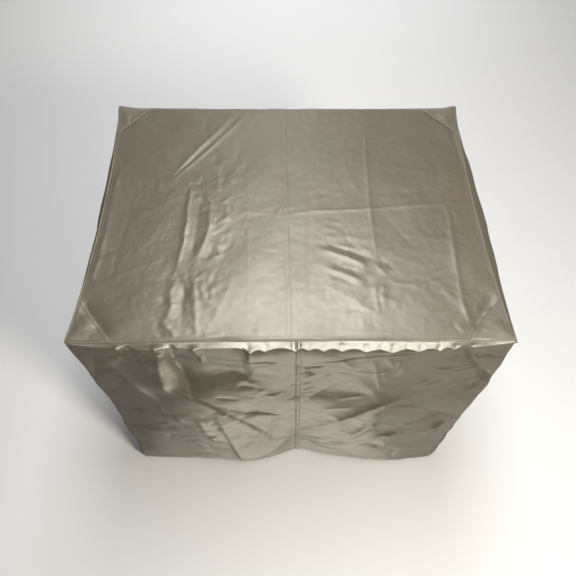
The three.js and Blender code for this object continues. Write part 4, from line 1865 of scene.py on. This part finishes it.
@dataclass
class CornerPatch:
    """A sewn triangle on one corner of the top, with its long edge turned under.

    Places on it are shares of its two legs, and its long edge is where they add up to 1. Its ripples are two
    waves that cross: each has a pace along either leg, and the first is bent by a height and a pace.
    """

    panel: TopPanel
    end: int
    across: float = 72.0
    back: float = 80.0
    cloth: float = 0.5
    edge_cloth: float = 0.25
    lift: float = 0.15
    flush: float = 0.3
    flush_band: float = 0.2
    turned: float = 0.9
    turned_from: tuple[float, float] = (0.90, 0.93)
    stitch_line: float = 0.94
    stitch_half: float = 0.018
    stitch_pull: float = 0.45
    stitch_ends: tuple[float, float] = (0.03, 0.97)
    stitch_points: int = 60
    puff: float = 0.9
    puff_pace: float = 1.6
    ripple: float = 0.35
    ripple_band: tuple[float, float] = (0.05, 0.3)
    first_wave: tuple[float, float] = (9.0, 4.0)
    first_bend: tuple[float, float] = (2.0, 11.0)
    second_wave: tuple[float, float] = (-3.0, 7.0)
    second_start: float = 1.3
    steps: int = 30

    def share(self, a: Array, b: Array) -> tuple[Array, Array]:
        """Find points of the patch on the panel.

        Args:
            a: Share of the leg along the front or back edge.
            b: Share of the leg along the side edge.

        Returns:
            The shares of the panel there, across and back.
        """
        size = self.panel.shape.size
        u = 1 - a * self.across / (size.width / 2)
        v = b * self.back / size.depth
        return u, (v if self.end < 0 else 1 - v)

    def height(self, a: Array, b: Array) -> Array:
        """Height of the patch's outer face over the panel.

        Args:
            a: Share of the leg along the front or back edge.
            b: Share of the leg along the side edge.

        Returns:
            The heights.
        """
        total = a + b
        legs_away = np.minimum(a, b)
        fold = self.turned * smooth(*self.turned_from, total)
        sewn = self.stitch_pull * np.exp(-(((total - self.stitch_line) / self.stitch_half) ** 2))
        humps = [np.sin(math.pi * np.clip(leg * self.puff_pace, 0, 1)) for leg in (a, b)]
        bend = self.first_bend[0] * np.sin(self.first_bend[1] * b)
        first = np.sin(self.first_wave[0] * a + self.first_wave[1] * b + bend)
        second = np.sin(self.second_wave[0] * a + self.second_wave[1] * b + self.second_start)
        height = self.lift + self.cloth + fold - sewn + self.puff * humps[0] * humps[1]
        height += self.ripple * (first * second) * smooth(*self.ripple_band, legs_away)
        return self.flush + (height - self.flush) * smooth(0, self.flush_band, legs_away)

    def surface(self, a: Array, b: Array) -> StitchPath:
        """Work the outer face out.

        Args:
            a: Share of the leg along the front or back edge.
            b: Share of the leg along the side edge.

        Returns:
            Points of the outer face and the normals there.
        """
        step = 0.004
        here = self.panel.surface(*self.share(a, b))
        ahead = self.panel.surface(*self.share(a + step, b))
        aside = self.panel.surface(*self.share(a, b + step))
        normal = np.cross(ahead - here, aside - here)
        normal /= np.maximum(np.linalg.norm(normal, axis=-1, keepdims=True), TINY)
        normal *= np.sign(normal[..., 2:3])
        return here + normal * self.height(a, b)[..., None], normal

    def faces(self, index: dict[tuple[int, int], int]) -> Array:
        """Triangles of the closed patch.

        Args:
            index: Number of each point of the outer face, by its steps along both legs. The inner face
                follows in the same order.

        Returns:
            One row of point numbers for each triangle.
        """
        n = self.steps
        faces: list[tuple[int, ...]] = []
        behind = len(index)
        for i in range(n):
            for j in range(n - i):
                tris = [(index[i, j], index[i + 1, j], index[i, j + 1])]
                if i + j + 1 < n:
                    tris.append((index[i + 1, j], index[i + 1, j + 1], index[i, j + 1]))
                for tri in tris:
                    faces += [tri, tuple(k + behind for k in tri[::-1])]
        rim = [index[k, 0] for k in range(n)]
        rim += [index[n - k, k] for k in range(n)]
        rim += [index[0, n - k] for k in range(n)]
        for first, second in zip(rim, rim[1:] + rim[:1]):
            faces += [(second, first, first + behind), (second, first + behind, second + behind)]
        rows = np.array(faces)
        return rows[:, ::-1] if self.panel.side.value * self.end < 0 else rows

    def build(self, name: str, node: str, material: bpy.types.Material) -> StitchPath:
        """Make the patch.

        Args:
            name: Name of the piece.
            node: The node that it replaces.
            material: Its material.

        Returns:
            Points and normals along its row of stitches.
        """
        steps = range(self.steps + 1)
        pairs = [(i, j) for i in steps for j in steps if i + j <= self.steps]
        index = {pair: k for k, pair in enumerate(pairs)}
        shares = np.array(pairs) / self.steps
        outer, normal = self.surface(shares[:, 0], shares[:, 1])
        grown = smooth(0, self.flush_band, shares.min(axis=1))
        thick = self.edge_cloth + (self.cloth - self.edge_cloth) * grown
        verts = np.concatenate([outer, outer - normal * thick[:, None]])
        flat = shares * np.array([self.across, self.back]) * MM
        obj = new_object(name, verts, self.faces(index), np.concatenate([flat, flat]))
        dress(obj, material, "patch", node)
        t = np.linspace(*self.stitch_ends, self.stitch_points)
        return self.surface(self.stitch_line * t, self.stitch_line * (1 - t))


@dataclass
class Stitching:
    """Rows of stitches on the seams, the hem and the patches.

    Distances are measured on the cloth from the edge that a row follows. Shares are of a whole top panel.
    """

    size: StitchSize
    cover: CoverSize
    beside_seam: tuple[float, float] = (1.8, 8.0)
    above_hem: float = 3.0
    inside_edge: float = 5.0
    skirt_ends: tuple[float, float] = (6.0, 3.0)
    hem_ends: float = 1.5
    top_ends: tuple[float, float] = (0.012, 0.988)
    edge_start: float = 0.01
    PATH_POINTS = 400

    @staticmethod
    def path(grid: SheetGrid, u: tuple[float, float], v: tuple[float, float]) -> StitchPath:
        """Points and normals on a straight run between two marks of a grid."""
        t = np.linspace(0, 1, Stitching.PATH_POINTS)
        return grid.sample(u[0] + (u[1] - u[0]) * t, v[0] + (v[1] - v[0]) * t)

    def seam_paths(self, top: SheetGrid, skirt: SheetGrid) -> list[StitchPath]:
        """Rows beside the middle seam, on the top and down both walls.

        Args:
            top: Grid of the right top panel.
            skirt: Grid of the right skirt panel.

        Returns:
            The rows.
        """
        far = float(skirt.u[-1])
        ends = (self.skirt_ends[0], self.cover.drop - self.skirt_ends[1])
        paths = []
        for away in self.beside_seam:
            share = away / (self.cover.width / 2)
            paths.append(self.path(top, (share, share), self.top_ends))
            paths += [self.path(skirt, (place, place), ends) for place in (away, far - away)]
        return paths

    def edge_paths(self, top: SheetGrid) -> list[StitchPath]:
        """Rows along the three bound edges of a top panel.

        Args:
            top: Grid of the panel.

        Returns:
            The rows.
        """
        across = 1 - self.inside_edge / (self.cover.width / 2)
        low = self.inside_edge / self.cover.depth
        paths = [self.path(top, (self.edge_start, across), (v, v)) for v in (low, 1 - low)]
        return paths + [self.path(top, (across, across), (low, 1 - low))]

    def hem_path(self, skirt: SheetGrid) -> StitchPath:
        """The row that holds the hem of a skirt panel."""
        level = self.cover.drop - self.cover.hem_height + self.above_hem
        return self.path(skirt, (self.hem_ends, float(skirt.u[-1]) - self.hem_ends), (level, level))

    def build(
        self,
        tops: dict[Side, SheetGrid],
        skirts: dict[Side, SheetGrid],
        patch_paths: list[StitchPath],
        material: bpy.types.Material,
    ) -> None:
        """Make all the stitches.

        Args:
            tops: Grid of each top panel.
            skirts: Grid of each skirt panel.
            patch_paths: Rows on the patches.
            material: The thread.
        """
        rows = {
            "stitches_middle": self.seam_paths(tops[Side.RIGHT], skirts[Side.RIGHT]),
            "stitches_hem": [self.hem_path(skirts[side]) for side in Side],
            "stitches_edge": [path for side in Side for path in self.edge_paths(tops[side])],
            "stitches_patches": patch_paths,
        }
        for name, paths in rows.items():
            dress(self.size.row(name, paths), material, "cloth")


def set_frame(obj: bpy.types.Object, axes: tuple[Array, Array, Array], place: tuple[float, ...]) -> None:
    """Turn an object so that its X, Y and Z axes follow three unit vectors, and put it at a place."""
    rows = np.column_stack([*axes, place]).tolist()
    obj.matrix_world = Matrix([*rows, [0.0, 0.0, 0.0, 1.0]])


@dataclass(frozen=True)
class PhotoCamera:
    """The camera, as it stood for the photograph. Angles in degrees, place in metres."""

    place: tuple[float, float, float] = (-0.0174, -0.6976, 0.8024)
    pitch: float = 57.175
    yaw: float = 1.424
    roll: float = -0.982
    focal_pixels: float = 552.285
    frame_pixels: float = 576.0
    sensor: float = 36.0
    nearest: float = 0.01

    def build(self) -> None:
        """Make the camera and put it to use."""
        pitch, yaw, roll = (math.radians(a) for a in (self.pitch, self.yaw, self.roll))
        ahead = np.array([math.sin(yaw) * math.cos(pitch), math.cos(yaw) * math.cos(pitch), -math.sin(pitch)])
        right = np.array([math.cos(yaw), -math.sin(yaw), 0.0])
        below = np.cross(ahead, right)
        image_x = math.cos(roll) * right + math.sin(roll) * below
        image_y = -math.sin(roll) * right + math.cos(roll) * below
        data = bpy.data.cameras.new("camera")
        data.sensor_width = self.sensor
        data.lens = self.focal_pixels / self.frame_pixels * self.sensor
        data.clip_start = self.nearest
        camera = bpy.data.objects.new("camera", data)
        set_frame(camera, (image_x, -image_y, -ahead), self.place)
        bpy.context.scene.collection.objects.link(camera)
        bpy.context.scene.camera = camera


WARM = (1.0, 0.94, 0.82)


@dataclass(frozen=True)
class SoftLight:
    """A rectangular light: place, the point it faces, size in metres and power.

    The place and the point it faces differ in X or Y, because its sides are worked out level. A light that
    is only mirrored lights no matt surface.
    """

    name: str
    place: tuple[float, float, float]
    target: tuple[float, float, float]
    size: tuple[float, float]
    power: float
    tint: Colour = (1.0, 1.0, 1.0)
    mirrored_only: bool = False

    def build(self) -> None:
        """Make the light."""
        data = bpy.data.lights.new(self.name, "AREA")
        data.shape = "RECTANGLE"
        data.size, data.size_y = self.size
        data.energy = self.power
        data.color = self.tint
        light = bpy.data.objects.new(self.name, data)
        light.visible_camera = False
        light.visible_diffuse = not self.mirrored_only
        away = np.array(self.place) - np.array(self.target)
        away /= np.linalg.norm(away)
        side = np.cross([0.0, 0.0, 1.0], away)
        side /= np.linalg.norm(side)
        set_frame(light, (side, np.cross(away, side), away), self.place)
        bpy.context.scene.collection.objects.link(light)


MIRRORED = {"mirrored_only": True}
LIGHTS = (
    SoftLight("light_above", (0.05, 0.36, 1.55), (0.05, 0.33, 0.0), (0.6, 1.3), 22.8),
    SoftLight("light_beside", (-0.34, 0.36, 1.55), (-0.34, 0.33, 0.0), (0.18, 1.2), 1.7, **MIRRORED),
    SoftLight("light_right", (0.62, 0.24, 1.6), (0.62, 0.21, 0.0), (0.6, 1.2), 5.0, **MIRRORED),
    SoftLight("light_behind", (-0.02, 1.9, 1.55), (0.0, 0.0, 0.0), (0.45, 1.0), 3.0),
    SoftLight("light_front", (0.2, -2.0, 0.45), (0.0, -0.3, -0.05), (1.3, 0.5), 40.0, **MIRRORED),
    SoftLight("light_rake", (0.86, -1.16, 0.88), (0.0, -0.3, -0.25), (0.35, 0.35), 23.0, WARM),
    SoftLight("light_floor", (0.0, 2.6, 0.5), (0.0, 1.2, -0.646), (2.4, 0.4), 16.0),
    SoftLight("light_below", (0.02, -0.78, -1.6), (0.0, -0.3, -0.3), (0.8, 0.35), 1.75, WARM, **MIRRORED),
    SoftLight("light_low", (0.38, -0.9, -1.8), (0.38, -0.3, -0.3), (2.2, 0.9), 3.4, WARM, **MIRRORED),
)


@dataclass
class Studio:
    """Pale floor, even surroundings and soft lights."""

    floor_height: float = -0.646
    floor_half: float = 9.0
    surroundings: float = 0.13
    sky: Colour = (1.0, 0.95, 0.87)
    lights: tuple[SoftLight, ...] = LIGHTS

    def build(self) -> None:
        """Make the floor, the world and the lights."""
        bpy.context.scene.view_settings.view_transform = "Standard"
        half = self.floor_half
        corners = ((-half, -half), (half, -half), (half, half), (-half, half))
        verts = np.array([[x, y, self.floor_height] for x, y in corners]) / MM
        floor = new_object("floor", verts, np.array([[0, 1, 2, 3]]))
        floor.data.materials.append(PaleFloor().build())
        floor.visible_glossy = False
        floor.visible_shadow = False
        world = bpy.data.worlds.new("studio")
        world.use_nodes = True
        background = world.node_tree.nodes["Background"]
        background.inputs["Color"].default_value = (*self.sky, 1)
        background.inputs["Strength"].default_value = self.surroundings
        bpy.context.scene.world = world
        for light in self.lights:
            light.build()


class Cover:
    """The whole cover, built piece by piece."""

    def __init__(self) -> None:
        """Set the shape, the seam and the finishes up."""
        self.shape = ClothShape(CoverSize())
        self.seam = SeamLine()
        groups = ShaderGroups()
        self.cloth = SatinCloth("satin_cloth").build(groups)
        patch = SatinCloth("satin_patch", light=(0.136, 0.116, 0.087), dark=(0.122, 0.103, 0.076))
        self.patch = patch.build(groups)
        self.tape = BindingTape().build(groups)
        self.thread = Thread().build(groups)

    def build(self) -> None:
        """Make every piece of the cover."""
        tops: dict[Side, SheetGrid] = {}
        skirts: dict[Side, SheetGrid] = {}
        paths: list[StitchPath] = []
        EdgeBinding(self.shape, self.seam).build("edge_tape", "edge_binding", self.tape)
        for side in Side:
            word = side.name.lower()
            panel = TopPanel(side, self.shape, self.seam)
            tops[side] = panel.build(f"panel_top_{word}", f"top_{word}", self.cloth)
            skirt = SkirtPanel(side, self.shape, self.seam)
            skirts[side] = skirt.build(f"panel_skirt_{word}", f"skirt_{word}", self.cloth)
            for end, place in ((-1, "front"), (1, "back")):
                patch = CornerPatch(panel, end)
                paths.append(patch.build(f"corner_{place}_{word}", f"patch_{place}_{word}", self.patch))
        Stitching(StitchSize(), self.shape.size).build(tops, skirts, paths, self.thread)


def main() -> None:
    """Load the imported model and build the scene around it."""
    logging.basicConfig(level=logging.INFO, format="%(name)s: %(message)s")
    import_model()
    PhotoCamera().build()
    Studio().build()
    Cover().build()


if __name__ == "__main__":
    main()
